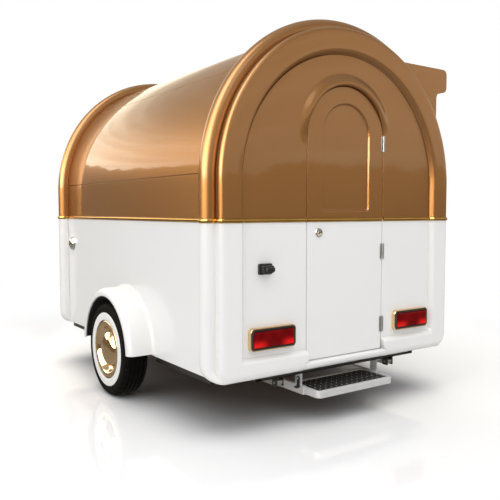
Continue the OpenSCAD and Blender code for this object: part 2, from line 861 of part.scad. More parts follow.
module lamp_lenses() color(red) place() at_lamps() {
  rim = bezel_w + gasket_w + seam;
  w = lamp_w - 2 * rim;
  h = lamp_h - 2 * rim;
  linear_extrude(lamp_t - lens_step) round_rect(w, h, gasket_inner_r - seam);
  linear_extrude(lamp_t) round_rect(w - 2 * lens_step, h - 2 * lens_step, lens_top_r);
}

// Base plate, body and nose, each [width, height, depth]
module plate_lamp() color(black) place() translate([-plate_lamp_x, recess_d, plate_lamp_z]) rotate([90, 0, 0]) {
  corner = 8;
  for (part = [[93, 62, 14], [72, 44, 44], [56, 32, 66]]) linear_extrude(part[2]) round_rect(part[0], part[1], corner);
}

module filler_flange() color(steel) place() translate([-side_x, filler_pos_y, filler_z]) rotate([0, -90, 0])
  difference() {
    union() {
      cylinder(r = filler_r, h = flange_t);
      translate([0, 0, -wall_t]) cylinder(r = filler_neck_r + neck_t - seam, h = wall_t + bite);
    }
    translate([0, 0, -wall_t - bite]) cylinder(r = filler_neck_r, h = wall_t + flange_t + 2 * bite);
  }

module filler_cap() color(steel) place() translate([-side_x, filler_pos_y, filler_z]) rotate([0, -90, 0]) {
  brim = 5;
  rise = 20;
  side_h = 6;
  plug_l = 10;
  dome_r = filler_r - brim;
  ball = (dome_r * dome_r + rise * rise) / (2 * rise);
  intersection() {
    translate([0, 0, flange_t + seam + side_h + rise - ball]) sphere(ball, $fn = 128);
    translate([0, 0, flange_t + seam]) cylinder(r = dome_r, h = rise + side_h + bite);
  }
  translate([0, 0, -plug_l]) cylinder(r = filler_neck_r - slide_fit, h = plug_l + flange_t + seam + bite);
}

// Knuckle of a door hinge: parts 0 and 2 belong to the frame, part 1 to the door
module knuckle(part) {
  third = hinge_h / 3;
  translate([hinge_x, hinge_y, -hinge_h / 2 + part * third + knuckle_gap / 2])
    cylinder(r = knuckle_r, h = third - knuckle_gap);
}

// Room for a knuckle of the other leaf
module knuckle_room(part) {
  translate([hinge_x, hinge_y, -hinge_h / 2 + part * hinge_h / 3 - knuckle_gap])
    cylinder(r = knuckle_r + slide_fit, h = hinge_h / 3 + 2 * knuckle_gap);
}

module hinge_frame_leaves() color(steel) place() for (z = hinge_heights) translate([0, 0, z]) {
  for (part = [0, 2]) knuckle(part);
  difference() {
    translate([hinge_x + leaf_gap, recess_d - leaf_t, -hinge_h / 2]) cube([leaf_w, leaf_t, hinge_h]);
    knuckle_room(1);
  }
  translate([hinge_x, hinge_y, -hinge_h / 2 - pin_end]) cylinder(r = hinge_pin_r, h = hinge_h + 2 * pin_end);
}

module hinge_door_leaves() color(steel) place() for (z = hinge_heights) translate([0, 0, z]) difference() {
  union() {
    knuckle(1);
    difference() {
      translate([hinge_x - leaf_gap - leaf_w, recess_d - leaf_t, -hinge_h / 2]) cube([leaf_w, leaf_t, hinge_h]);
      for (part = [0, 2]) knuckle_room(part);
    }
  }
  translate([hinge_x, hinge_y, -hinge_h]) cylinder(r = hinge_pin_r + pin_fit, h = 2 * hinge_h);
}

module door_upper_panel() color(bronze) place() translate([0, recess_d, 0]) difference() {
  along_y(wall_t) arch_outline(door_half, belt_z, door_arch_z);
  translate([0, -bite, 0]) along_y(pane_d + bite) arch_outline(pane_w / 2, pane_z, pane_arch_z);
  // The leaf below the belt belongs to the lower panel
  translate([-door_half, -2 * bite, belt_z - door_w]) cube([door_w, wall_t + 4 * bite, door_w]);
}

module door_lower_panel() color(white) place() difference() {
  translate([-door_half, recess_d, door_z]) cube([door_w, wall_t, belt_z - door_z]);
  translate([-lock_x, recess_d - bite, lock_z]) rotate([-90, 0, 0]) cylinder(r = lock_barrel_r + seam, h = wall_t + 2 * bite);
}

module door_belt_trim() color(gold) place()
  translate([-door_half, recess_d - trim_t, belt_z - trim_h / 2]) cube([door_w - trim_gap, trim_t, trim_h]);

module lock_body() color(steel) place() translate([-lock_x, recess_d, lock_z]) rotate([-90, 0, 0]) difference() {
  union() {
    translate([0, 0, -lock_face_t]) cylinder(r = lock_r, h = lock_face_t);
    translate([0, 0, -bite]) cylinder(r = lock_barrel_r, h = wall_t + lock_tail + bite);
  }
  translate([0, 0, -lock_face_t - bite])
    cylinder(r = lock_plug_r + pin_fit, h = wall_t + lock_tail + lock_face_t + 2 * bite);
}

module lock_plug() color(steel) place() translate([-lock_x, recess_d, lock_z]) rotate([-90, 0, 0]) difference() {
  proud = 1;
  cam_w = 18;
  cam_l = 60;
  cam_t = 4;
  slot = [2.4, 10, 4];
  face = lock_face_t + proud;
  union() {
    translate([0, 0, -face]) cylinder(r = lock_plug_r, h = face + wall_t + lock_tail + proud);
    // Cam behind the door
    translate([-cam_w / 2, -cam_w / 2, wall_t + lock_tail + slide_fit]) cube([cam_w, cam_l, cam_t]);
  }
  translate([-slot[0] / 2, -slot[1] / 2, -face - bite]) cube([slot[0], slot[1], slot[2] + bite]);
}

// Places the wheel pieces: made at the origin with the outer side towards +z
module at_wheel(side) {
  mirror([side < 0 ? 1 : 0, 0, 0]) translate([tyre_x, axle_y, axle_z]) rotate([0, 90, 0]) children();
}

module tyre() rotate_extrude() {
  half = tyre_w / 2;
  seat_half = half - seat_in;
  foot_r = rim_r + bead_lip;
  translate([foot_r, -half + shoulder_r]) square([tyre_r - foot_r, tyre_w - 2 * shoulder_r]);
  translate([foot_r, -half]) square([tyre_r - shoulder_r - foot_r, tyre_w]);
  for (s = [-1, 1]) translate([tyre_r - shoulder_r, s * (half - shoulder_r)]) circle(shoulder_r);
  translate([rim_r + seam, -seat_half]) square([bead_lip, 2 * seat_half]);
}

module whitewall() rotate_extrude() translate([rim_r + bead_lip, tyre_w / 2])
  square([whitewall_r - rim_r - bead_lip, whitewall_t]);

module rim() {
  seat_half = tyre_w / 2 - seat_in;
  well_t = 12;
  lip_t = 7;
  lip_h = 17;
  lip_out = 4.5;
  disc_z = 10;
  disc_t = 8;
  hub_r = 48;
  hub_in = 50;
  hole_r = 18;
  hole_ring = 110;
  holes = 5;
  difference() {
    rotate_extrude() {
      translate([rim_r - well_t, -seat_half - rim_lip]) square([well_t, 2 * (seat_half + rim_lip)]);
      for (s = [-1, 1]) translate([rim_r - 2 * bite, s * (seat_half + lip_out) - lip_t / 2]) square([lip_h, lip_t]);
      translate([0, disc_z]) square([rim_r - well_t + 2 * bite, disc_t]);
      translate([0, -hub_in]) square([hub_r, hub_in + disc_z + disc_t]);
    }
    translate([0, 0, -tyre_w]) cylinder(r = stub_r + pin_fit, h = 2 * tyre_w);
    for (hole = [0:holes - 1]) rotate([0, 0, hole * 360 / holes]) translate([hole_ring, 0, 0])
      cylinder(r = hole_r, h = 2 * (disc_z + disc_t));
  }
}

// Dished cap with a dome in the middle
module hub_cap() {
  skin = 3;
  lip = 26;
  brim = 12;
  dish_d = 28;
  dome_rise = 44;
  skirt = 11;
  edge = rim_r + brim;
  seat_z = tyre_w / 2 - seat_in + rim_lip + seam;
  edge_z = seat_z + skirt;
  dish_z = edge_z - dish_d;
  dome_ball = (cap_dome_r * cap_dome_r + dome_rise * dome_rise) / (2 * dome_rise);
  dome_z = dish_z + dome_rise - dome_ball;
  rotate_extrude() polygon([
    [cap_dome_r - 2 * skin, dish_z],
    [cap_dome_r + skin, dish_z],
    [edge - lip, edge_z + skin],
    [edge, edge_z + skin],
    [edge, seat_z],
    [edge - skin, seat_z],
    [edge - skin, edge_z],
    [edge - lip + bite, edge_z],
    [cap_dome_r + 2 * skin, dish_z - skin],
    [cap_dome_r - 2 * skin, dish_z - skin]
  ]);
  intersection() {
    translate([0, 0, dome_z]) difference() {
      sphere(dome_ball);
      sphere(dome_ball - skin);
    }
    translate([0, 0, dish_z - bite]) cylinder(r = cap_dome_r, h = dome_rise + 2 * bite);
  }
}

module left_tyre() color(black) place() at_wheel(-1) tyre();

module right_tyre() color(black) place() at_wheel(1) tyre();

module left_whitewall() color(white) place() at_wheel(-1) whitewall();

module right_whitewall() color(white) place() at_wheel(1) whitewall();

module left_rim() color(steel) place() at_wheel(-1) rim();

module right_rim() color(steel) place() at_wheel(1) rim();

module left_hub_cap() color(gold) place() at_wheel(-1) hub_cap();

module right_hub_cap() color(gold) place() at_wheel(1) hub_cap();

// Plan of the step's frame, round at its outer corners, grown inwards by g
module step_plan(g) {
  half = step_half - g;
  r = max(step_round - g, 2);
  length = step_l - 2 * g;
  translate([-half, g + r]) square([2 * half, length - r]);
  translate([-half + r, g]) square([2 * half - 2 * r, r + bite]);
  for (s = [-1, 1]) translate([s * (half - r), g + r]) circle(r);
}

module step_frame() color(alloy) place() translate([0, -step_out, step_z - step_h]) {
  ledge_t = 4;
  ledge_w = 14;
  linear_extrude(step_h) difference() {
    step_plan(0);
    step_plan(step_bar);
  }
  // Ledge that the tread lies on
  translate([0, 0, step_h - tread_drop - ledge_t]) linear_extrude(ledge_t) difference() {
    step_plan(step_bar - bite);
    step_plan(step_bar + ledge_w);
  }
}

module step_tread() color(black) place() translate([0, -step_out, step_z - tread_drop]) {
  side_margin = 30;
  end_margin = 25;
  stud_r = 9;
  stud_h = 4;
  pitch_x = (step_w - 2 * step_bar - 2 * side_margin) / (stud_count - 1);
  pitch_y = (step_l - 2 * step_bar - 2 * end_margin) / (stud_rows - 1);
  linear_extrude(tread_t) step_plan(step_bar + seam);
  for (row = [0:stud_rows - 1]) for (column = [0:stud_count - 1])
    translate([(column - (stud_count - 1) / 2) * pitch_x, step_bar + end_margin + row * pitch_y, tread_t - bite])
      cylinder(r = stud_r, h = stud_h + bite, $fn = 24);
}

// Channel, hangers and tabs of one step guide
module step_guide() {
  inside = step_half + slide_fit;
  low = step_z - step_h - slide_fit;
  top = step_z + slide_fit;
  flange = step_bar - guide_t;
  tab = 30;
  last_y = guide_y0 + guide_l - hanger_w - hanger_end;
  // Channel round the side bar
  translate([inside, guide_y0, low - guide_t]) cube([guide_t, guide_l, top - low + 2 * guide_t]);
  translate([inside - flange, guide_y0, top]) cube([flange + bite, guide_l, guide_t]);
  translate([inside - flange, guide_y0, low - guide_t]) cube([flange + bite, guide_l, guide_t]);
  // Flat hangers up to the chassis
  for (y = [guide_y0 + hanger_in, last_y]) translate([inside, y, top]) cube([guide_t, hanger_w, rail_z - top]);
  translate([inside, guide_y0 + hanger_in, rail_z - guide_t]) cube([tab, hanger_w, guide_t]);
  translate([inside, last_y, rail_z - guide_t]) cube([rail_x - inside, hanger_w, guide_t]);
}

module step_guides() color(alloy) place() {
  both_sides() step_guide();
  // Stud of the latch
  translate([-step_half - slide_fit - guide_t + bite, latch_y, latch_z]) rotate([0, -90, 0])
    cylinder(r = latch_pin_r, h = latch_stud_l + bite);
}

module counter_unit() color(board) place() {
  end_room = 260;
  toe = 20;
  well_gap = 10;
  uprights = 4;
  depth = inner_x - seam - counter_d;
  y0 = end_room;
  y1 = body_l - end_room;
  translate([depth, y0, counter_z - board_t]) cube([counter_d, y1 - y0, board_t]);
  for (i = [0:uprights - 1])
    translate([depth + toe, y0 + i * (y1 - y0 - board_t) / (uprights - 1), floor_top])
      cube([well_x - well_gap - depth - toe, board_t, counter_z - board_t + bite - floor_top]);
}

// Spans of the hatch hinge's knuckles: even ones on the wall, odd ones on the hatch
function hinge_span(i) = [hatch_y0 + i * hatch_l / hinge_parts + knuckle_gap, hatch_l / hinge_parts - 2 * knuckle_gap];

module hinge_tube(i) {
  span = hinge_span(i);
  translate([hatch_hinge_x, span[0], hatch_hinge_z]) rotate([-90, 0, 0]) cylinder(r = hinge_tube_r, h = span[1]);
}

// Wall half of the hatch hinge
module wall_hinge() {
  web_t = 6;
  leaf_h = 14;
  wing_t = 2.5;
  for (i = [0:2:hinge_parts - 1]) {
    hinge_tube(i);
    span = hinge_span(i);
    translate([portal_x, span[0], hatch_hinge_z - web_t / 2]) cube([hatch_hinge_x - portal_x, span[1], web_t]);
    translate([portal_x, span[0], hatch_hinge_z - web_t / 2]) cube([wing_t, span[1], leaf_h]);
  }
  translate([hatch_hinge_x, hatch_y0 + leaf_gap, hatch_hinge_z]) rotate([-90, 0, 0])
    cylinder(r = hinge_rod_r, h = hatch_l - 2 * leaf_gap);
}

// Puts a strut piece at both ends of the hatch opening, with y = 0 in the strut's plane
module at_struts() {
  translate([0, hatch_y0 + strut_y, 0]) children();
  translate([0, hatch_y0 + hatch_l - strut_y, 0]) mirror([0, 1, 0]) children();
}

// Bracket on the wall that a strut hangs from
module strut_bracket() translate([wall_pivot[0], 0, wall_pivot[1]]) {
  head_t = 6;
  head_rim = 5;
  arm_half = 8;
  plate_t = 4;
  plate_h = 36;
  plate_lap = 30;
  head_y = strut_eye_t / 2 + knuckle_gap;
  plate_x = portal_x - wall_t - wall_pivot[0];
  translate([0, -head_y, 0]) rotate([90, 0, 0]) cylinder(r = strut_pin_r + head_rim, h = head_t);
  translate([0, strut_eye_t / 2, 0]) rotate([90, 0, 0]) cylinder(r = strut_pin_r, h = strut_eye_t + 1 + bite);
  translate([-arm_half, -head_y - head_t, -arm_half]) cube([plate_x + arm_half, head_t, 2 * arm_half]);
  translate([plate_x - plate_t, -strut_y - plate_lap, -plate_h / 2])
    cube([plate_t, strut_y + plate_lap - barrel_r - bite, plate_h]);
}

module hatch_fittings() color(steel) place() {
  wall_hinge();
  at_struts() strut_bracket();
}

module serving_hatch() color(bronze) place() difference() {
  stand = 1;
  strap_t = 6;
  strap_h = 14;
  lug_t = 8;
  lug_r = 14;
  union() {
    translate([portal_x + stand, hatch_y0 - hatch_lap, hatch_z0 - hatch_lap])
      cube([hatch_t, hatch_l + 2 * hatch_lap, hatch_z1 - hatch_z0 + 2 * hatch_lap]);
    for (i = [1:2:hinge_parts - 1]) {
      span = hinge_span(i);
      hinge_tube(i);
      translate([hatch_hinge_x - strap_t / 2, span[0], hatch_hinge_z - strap_h]) cube([strap_t, span[1], strap_h]);
    }
    // Lugs for the struts
    at_struts() translate([hatch_pivot[0], strut_eye_t / 2 + stand, hatch_pivot[1]]) {
      translate([0, 0, -lug_r]) cube([portal_x + stand + bite - hatch_pivot[0], lug_t, 2 * lug_r]);
      rotate([-90, 0, 0]) cylinder(r = lug_r, h = lug_t);
    }
  }
  translate([hatch_hinge_x, hatch_y0 - bite, hatch_hinge_z]) rotate([-90, 0, 0])
    cylinder(r = hinge_rod_r + pin_fit, h = hatch_l + 2 * bite);
  // Room for the wall's knuckles
  for (i = [0:2:hinge_parts - 1]) translate([0, -stand, 0]) {
    span = hinge_span(i);
    translate([hatch_hinge_x, span[0], hatch_hinge_z]) rotate([-90, 0, 0])
      cylinder(r = hinge_tube_r + slide_fit, h = span[1] + 2 * stand);
  }
}

// Strut pieces are made along +z from the wall pivot
module along_strut() {
  at_struts() translate([wall_pivot[0], 0, wall_pivot[1]]) rotate([0, strut_lean, 0]) children();
}

module strut_barrels() color(black) place() along_strut() difference() {
  eye_r = 13;
  neck_r = 5.5;
  neck_z = 9;
  neck_end = 30;
  foot_z = 26;
  union() {
    translate([0, strut_eye_t / 2, 0]) rotate([90, 0, 0]) cylinder(r = eye_r, h = strut_eye_t);
    post(neck_r, neck_z, neck_end);
    post(barrel_r, foot_z, barrel_l);
  }
  translate([0, strut_eye_t, 0]) rotate([90, 0, 0]) cylinder(r = strut_pin_r + pin_fit, h = 2 * strut_eye_t);
  post(rod_r + pin_fit, strut_base, barrel_l + bite);
}

module strut_rods() color(steel) place() along_strut() difference() {
  eye_r = 11;
  foot_gap = 10;
  lap = 8;
  union() {
    post(rod_r, strut_base + foot_gap, strut_len - lap);
    translate([0, strut_eye_t / 2, strut_len]) rotate([90, 0, 0]) cylinder(r = eye_r, h = strut_eye_t);
  }
  translate([0, strut_eye_t, strut_len]) rotate([90, 0, 0]) cylinder(r = strut_pin_r, h = 2 * strut_eye_t);
}

module coupling_head() color(zinc) place() {
  head_r = 45;
  head_h = 62;
  ball_rise = 16;
  ball_fit = 0.5;
  body_h = 50;
  tail = 120;
  cheek_t = 10;
  cheek_l = 44;
  cheek_h = 45;
  cheek_x = 21;
  ball_y = nose_y - head_r;
  ball_z = coupling_z + ball_rise;
  difference() {
    union() {
      translate([-nose_w / 2, nose_y - coupling_l - tail, coupling_z]) cube([nose_w, coupling_l + tail - head_r, body_h]);
      translate([0, ball_y, coupling_z]) cylinder(r = head_r, h = head_h);
      for (s = [-1, 1]) translate([s * cheek_x - cheek_t / 2, lever_y - cheek_l / 2, coupling_z + body_h - bite])
        cube([cheek_t, cheek_l, cheek_h]);
    }
    translate([0, ball_y, ball_z]) sphere(ball_r + ball_fit);
    translate([0, ball_y, coupling_z - bite]) cylinder(r = ball_r + ball_fit, h = ball_rise + bite);
    translate([-nose_w / 2, lever_y, lever_z]) rotate([0, 90, 0]) cylinder(r = lever_pin_r + pin_fit, h = nose_w);
  }
}

module coupling_lever() color(black) place() translate([0, lever_y, lever_z]) {
  pin_half = 28;
  boss_half = 15.5;
  boss_r = 13;
  grip_l = 160;
  grip_w = 24;
  grip_t = 16;
  translate([-pin_half, 0, 0]) rotate([0, 90, 0]) cylinder(r = lever_pin_r, h = 2 * pin_half);
  translate([-boss_half, 0, 0]) rotate([0, 90, 0]) cylinder(r = boss_r, h = 2 * boss_half);
  translate([-grip_w / 2, -grip_l, -grip_t / 2]) cube([grip_w, grip_l, grip_t]);
  translate([0, -grip_l, -grip_t / 2]) cylinder(r = grip_w / 2, h = grip_t);
}

module jockey_clamp() color(zinc) place() translate([jockey_x, jockey_y, 0]) difference() {
  collar_t = 9;
  collar_h = 60;
  foot_in = 10;
  cap_t = 10;
  foot_half = nose_w / 2 - foot_in;
  arm_w = 70;
  arm_t = 8;
  web_t = 12;
  web_h = 45;
  union() {
    post(jockey_r, jockey_z0, jockey_z1);
    post(jockey_r + collar_t, jockey_arm_z, jockey_arm_z + collar_h);
    // Foot on the nose tube and arm across to the clamp, with a web on top
    translate([-jockey_x - foot_half, -arm_w / 2, coupling_z]) cube([2 * foot_half, arm_w, jockey_arm_z - coupling_z + bite]);
    translate([-jockey_x - foot_half, -arm_w / 2, jockey_arm_z]) cube([jockey_x + foot_half, arm_w, arm_t]);
    translate([-jockey_x, -web_t / 2, jockey_arm_z]) cube([jockey_x, web_t, web_h]);
  }
  post(jockey_r - jockey_t, jockey_z0 - bite, jockey_z1 - cap_t);
  post(jockey_screw_r + pin_fit, jockey_z1 - cap_t - 2 * bite, jockey_z1 + bite);
}

module jockey_inner_tube() color(zinc) place() translate([jockey_x, jockey_y, 0]) difference() {
  foot_z = jockey_fork_z + fork_t + 1;
  plug_z = jockey_fork_z + fork_pin_l + fork_t;
  post(jockey_r - jockey_t - slide_fit, foot_z, jockey_nut_z);
  post(jockey_screw_r + 1, plug_z, jockey_nut_z + bite);
  post(jockey_screw_r + pin_fit, foot_z - bite, plug_z + 2 * bite);
}

module jockey_fork() color(zinc) place() translate([jockey_x, jockey_y, 0]) {
  fork_half = 34;
  cheek_half = 20;
  front = 26;
  drop = 14;
  axle_half = 40;
  translate([-fork_half, -jockey_trail - cheek_half, jockey_fork_z])
    cube([2 * fork_half, jockey_trail + cheek_half + front, fork_t]);
  post(jockey_screw_r, jockey_fork_z, jockey_fork_z + fork_pin_l);
  for (s = [-1, 1])
    translate([s * (fork_half - fork_t / 2) - fork_t / 2, -jockey_trail - cheek_half, jockey_axle_z - drop])
      cube([fork_t, 2 * cheek_half, jockey_fork_z - jockey_axle_z + drop + bite]);
  translate([-axle_half, -jockey_trail, jockey_axle_z]) rotate([0, 90, 0])
    cylinder(r = jockey_axle_r, h = 2 * axle_half);
}

module jockey_wheel() color(black) place() translate([jockey_x, jockey_y - jockey_trail, jockey_axle_z]) rotate([0, 90, 0])
  difference() {
    half = 22;
    round_r = 10;
    hub_r = 22;
    hub_half = 27;
    rotate_extrude() {
      translate([0, -half]) square([jockey_wheel_r - round_r, 2 * half]);
      translate([0, -half + round_r]) square([jockey_wheel_r, 2 * (half - round_r)]);
      for (s = [-1, 1]) translate([jockey_wheel_r - round_r, s * (half - round_r)]) circle(round_r);
      translate([0, -hub_half]) square([hub_r, 2 * hub_half]);
    }
    translate([0, 0, -2 * hub_half]) cylinder(r = jockey_axle_r + pin_fit, h = 4 * hub_half);
  }

module jockey_crank() color(zinc) place() translate([jockey_x, jockey_y, jockey_z1]) {
  arm_w = 18;
  arm_z = 24;
  arm_t = 10;
  throw = 100;
  grip_r = 9;
  grip_l = 80;
  screw_l = 40;
  neck = 30;
  post(jockey_screw_r, jockey_nut_z - screw_l - jockey_z1, neck);
  translate([-arm_w / 2, -arm_w / 2, arm_z]) cube([arm_w, throw + arm_w, arm_t]);
  translate([0, throw, neck]) cylinder(r = grip_r, h = grip_l);
}

module steady_leg() translate([steady_x, steady_y, steady_z]) {
  pin_out = 10;
  foot_half = 35;
  foot_t = 8;
  translate([-steady_w / 2 - pin_out, 0, 0]) rotate([0, 90, 0]) cylinder(r = steady_pin_r, h = steady_w + 2 * pin_out);
  translate([-steady_w / 2, 0, 0]) rotate([0, 90, 0]) cylinder(r = steady_w / 2, h = steady_w);
  translate([-steady_w / 2, 0, -steady_w / 2]) cube([steady_w, steady_l, steady_w]);
  translate([-foot_half, steady_l - bite, -foot_half]) cube([2 * foot_half, foot_t, 2 * foot_half]);
}

module right_steady_leg() color(zinc) place() steady_leg();

module left_steady_leg() color(zinc) place() mirror([1, 0, 0]) steady_leg();

// Turning latch on the left hanger
module step_latch() color(black) place()
  translate([-step_half - slide_fit - guide_t - latch_gap, latch_y, latch_z]) rotate([0, -90, 0])
    difference() {
      boss_r = 14;
      arm_l = 48;
      arm_w = 22;
      arm_t = 6;
      hook_t = 9;
      hook_l = 26;
      union() {
        cylinder(r = boss_r, h = arm_t);
        translate([-arm_l, -arm_w / 2, 0]) cube([arm_l, arm_w, arm_t]);
        translate([-arm_l - hook_t + bite, -arm_w / 2, 0]) cube([hook_t, arm_w, hook_l]);
      }
      translate([0, 0, -bite]) cylinder(r = latch_pin_r + pin_fit, h = arm_t + 2 * bite);
    }

chassis_frame();
drawbar();
axle_beam();
floor_panel();
rear_lower_ring();
rear_arch_ring();
rear_arch_bead();
front_lower_shell();
front_upper_shell();
left_lower_panel();
right_lower_panel();
fenders();
wheel_boxes();
left_upper_panel();
vault_panel();
roof_panel();
serving_portal();
rear_upper_panel();
rear_lower_panels();
rear_sill();
belt_trim();
lamp_bezels();
lamp_gaskets();
lamp_lenses();
plate_lamp();
filler_flange();
filler_cap();
hinge_frame_leaves();
step_guides();
counter_unit();
hatch_fittings();
serving_hatch();
strut_barrels();
strut_rods();
door_upper_panel();
door_lower_panel();
hinge_door_leaves();
door_belt_trim();
lock_body();
lock_plug();
left_tyre();
left_whitewall();
left_rim();
left_hub_cap();
right_tyre();
right_whitewall();
right_rim();
right_hub_cap();
step_frame();
step_tread();
coupling_head();
coupling_lever();
jockey_clamp();
jockey_inner_tube();
jockey_fork();
jockey_wheel();
jockey_crank();
left_steady_leg();
right_steady_leg();
step_latch();
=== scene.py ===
import json
import bmesh
import bpy
from math import acos, asin, copysign, cos, degrees, pi, radians, sin, sqrt
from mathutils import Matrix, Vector


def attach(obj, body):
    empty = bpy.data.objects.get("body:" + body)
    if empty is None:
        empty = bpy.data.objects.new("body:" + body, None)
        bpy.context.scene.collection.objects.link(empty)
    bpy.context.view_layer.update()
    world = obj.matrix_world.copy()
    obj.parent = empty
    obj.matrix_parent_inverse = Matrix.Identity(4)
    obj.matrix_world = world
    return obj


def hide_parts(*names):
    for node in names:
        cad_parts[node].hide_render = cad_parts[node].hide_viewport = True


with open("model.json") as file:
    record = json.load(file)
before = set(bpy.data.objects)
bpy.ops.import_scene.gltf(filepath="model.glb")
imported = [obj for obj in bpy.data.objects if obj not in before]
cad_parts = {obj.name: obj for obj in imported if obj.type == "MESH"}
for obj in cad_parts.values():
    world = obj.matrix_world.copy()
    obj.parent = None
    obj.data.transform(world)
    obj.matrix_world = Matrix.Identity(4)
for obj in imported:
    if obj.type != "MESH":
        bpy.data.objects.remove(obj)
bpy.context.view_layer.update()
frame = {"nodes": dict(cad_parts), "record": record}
nodes = frame["nodes"]
scene = bpy.context.scene
scene.view_settings.view_transform = "Standard"

# sizes of the body that several pieces share, in metres; depths run forward from the rear end face
body = {
    "rearY": -1.8575, "length": 2.6, "ringR": 1.0, "beadR": 0.050, "beadC": 0.950, "beadY": 0.115,
    "edgeC": 0.913, "edgeR": 0.025, "recessR": 0.779, "recessD": 0.030, "backD": 0.060, "bottomZ": 0.310,
    "beltZ": 1.215, "springZ": 1.440, "sideX": 0.935, "innerX": 0.905, "sideY": 0.165, "doorHalf": 0.315,
    "frameHalf": 0.319, "doorArchZ": 1.713,
}
frontY = body["rearY"] + body["length"]


# small mesh tools

def arcPoints(cx, cy, r, startDeg, endDeg, count):
    step = (endDeg - startDeg) / (count - 1)
    angles = [radians(startDeg + step * i) for i in range(count)]
    return [(cx + r * cos(a), cy + r * sin(a)) for a in angles]


def bezierPoints(a, b, c, count):
    out = []
    for i in range(count):
        t = i / (count - 1)
        p, q, r = (1 - t) ** 2, 2 * t * (1 - t), t * t
        out.append((p * a[0] + q * b[0] + r * c[0], p * a[1] + q * b[1] + r * c[1]))
    return out


# the slot's own finish is used unless another is given
def addPiece(name, verts, faces, rides, slot, sharpDeg, finish=None):
    mesh = bpy.data.meshes.new(name)
    mesh.from_pydata(verts, [], faces)
    bm = bmesh.new()
    bm.from_mesh(mesh)
    bmesh.ops.remove_doubles(bm, verts=bm.verts, dist=1e-6)
    bmesh.ops.recalc_face_normals(bm, faces=bm.faces)
    bm.to_mesh(mesh)
    bm.free()
    mesh.polygons.foreach_set("use_smooth", [True] * len(mesh.polygons))
    mesh.set_sharp_from_angle(angle=radians(sharpDeg))
    mesh.materials.append(finish or finishes[slot])
    piece = bpy.data.objects.new(name, mesh)
    scene.collection.objects.link(piece)
    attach(piece, rides)
    return piece


# an open path is capped at both ends
def loftFaces(rows, closedSection, closedPath, base=0):
    count = len(rows[0])
    faces = []
    for i in range(len(rows) if closedPath else len(rows) - 1):
        here, there = base + i * count, base + (i + 1) % len(rows) * count
        for j in range(count if closedSection else count - 1):
            m = (j + 1) % count
            faces.append((here + j, here + m, there + m, there + j))
    if not closedPath:
        faces.append(tuple(base + j for j in reversed(range(count))))
        faces.append(tuple(base + (len(rows) - 1) * count + j for j in range(count)))
    return faces


# one piece from lofts, which are lists of rows of 3-D points; turned ones have open rows in a closed path
def loftPiece(name, lofts, rides, slot, closedPath=False, sharpDeg=38, finish=None, turned=()):
    verts, faces = [], []
    shapes = [(rows, True, closedPath) for rows in lofts] + [(rows, False, True) for rows in turned]
    for rows, closedRow, closedAll in shapes:
        faces += loftFaces(rows, closedRow, closedAll, len(verts))
        verts += [point for row in rows for point in row]
    return addPiece(name, verts, faces, rides, slot, sharpDeg, finish)


# (radius, height) profile turned round an axis; toWorld places (radial x, radial y, height)
def latheRows(profile, segments, toWorld):
    rows = []
    for i in range(segments):
        a = 2 * pi * i / segments
        rows.append([toWorld(r * cos(a), r * sin(a), h) for r, h in profile])
    return rows


# upright rectangle at each of the given depths
def slabRows(lowX, highX, lowZ, highZ, ys):
    return [[(lowX, y, lowZ), (highX, y, lowZ), (highX, y, highZ), (lowX, y, highZ)] for y in ys]


# large flat faces keep their own direction, so reflections stay straight
def evenShade(piece):
    even = piece.modifiers.new("evenNormals", "WEIGHTED_NORMAL")
    even.keep_sharp = True
    even.weight = 60


def soften(piece, width, segments=2, angleDeg=32, harden=True):
    bevel = piece.modifiers.new("roundEdges", "BEVEL")
    bevel.width = width
    bevel.segments = segments
    bevel.limit_method = "ANGLE"
    bevel.angle_limit = radians(angleDeg)
    bevel.harden_normals = harden
    if not harden:
        evenShade(piece)


def mirrorRows(rows):
    return [[(-x, y, z) for x, y, z in row] for row in rows]


# shader node tools

def newFinish(name):
    material = bpy.data.materials.new(name)
    material.use_nodes = True
    return material, material.node_tree


def addNode(graph, kind, **values):
    made = graph.nodes.new(kind)
    for key, value in values.items():
        if key in made.inputs:
            made.inputs[key].default_value = value
        else:
            setattr(made, key, value)
    return made


def mathNode(graph, operation, a, b=0.0):
    made = addNode(graph, "ShaderNodeMath", operation=operation)
    for socket, value in zip(made.inputs, (a, b)):
        if isinstance(value, float):
            socket.default_value = value
        else:
            graph.links.new(value, socket)
    return made.outputs[0]


def vectorNode(graph, operation, source, value=(0, 0, 0)):
    made = addNode(graph, "ShaderNodeVectorMath", operation=operation)
    graph.links.new(source, made.inputs[0])
    made.inputs[1].default_value = value
    return made.outputs["Value" if operation == "LENGTH" else "Vector"]


def rangeNode(graph, source, fromRange, toRange, interpolation="LINEAR"):
    made = addNode(graph, "ShaderNodeMapRange", interpolation_type=interpolation)
    for key, value in zip(("From Min", "From Max", "To Min", "To Max"), (*fromRange, *toRange)):
        made.inputs[key].default_value = value
    graph.links.new(source, made.inputs["Value"])
    return made.outputs["Result"]


def mixShader(graph, share, first, second):
    made = addNode(graph, "ShaderNodeMixShader")
    for socket, source in zip(made.inputs, (share, first, second)):
        graph.links.new(source, socket)
    return made.outputs[0]


# finishes

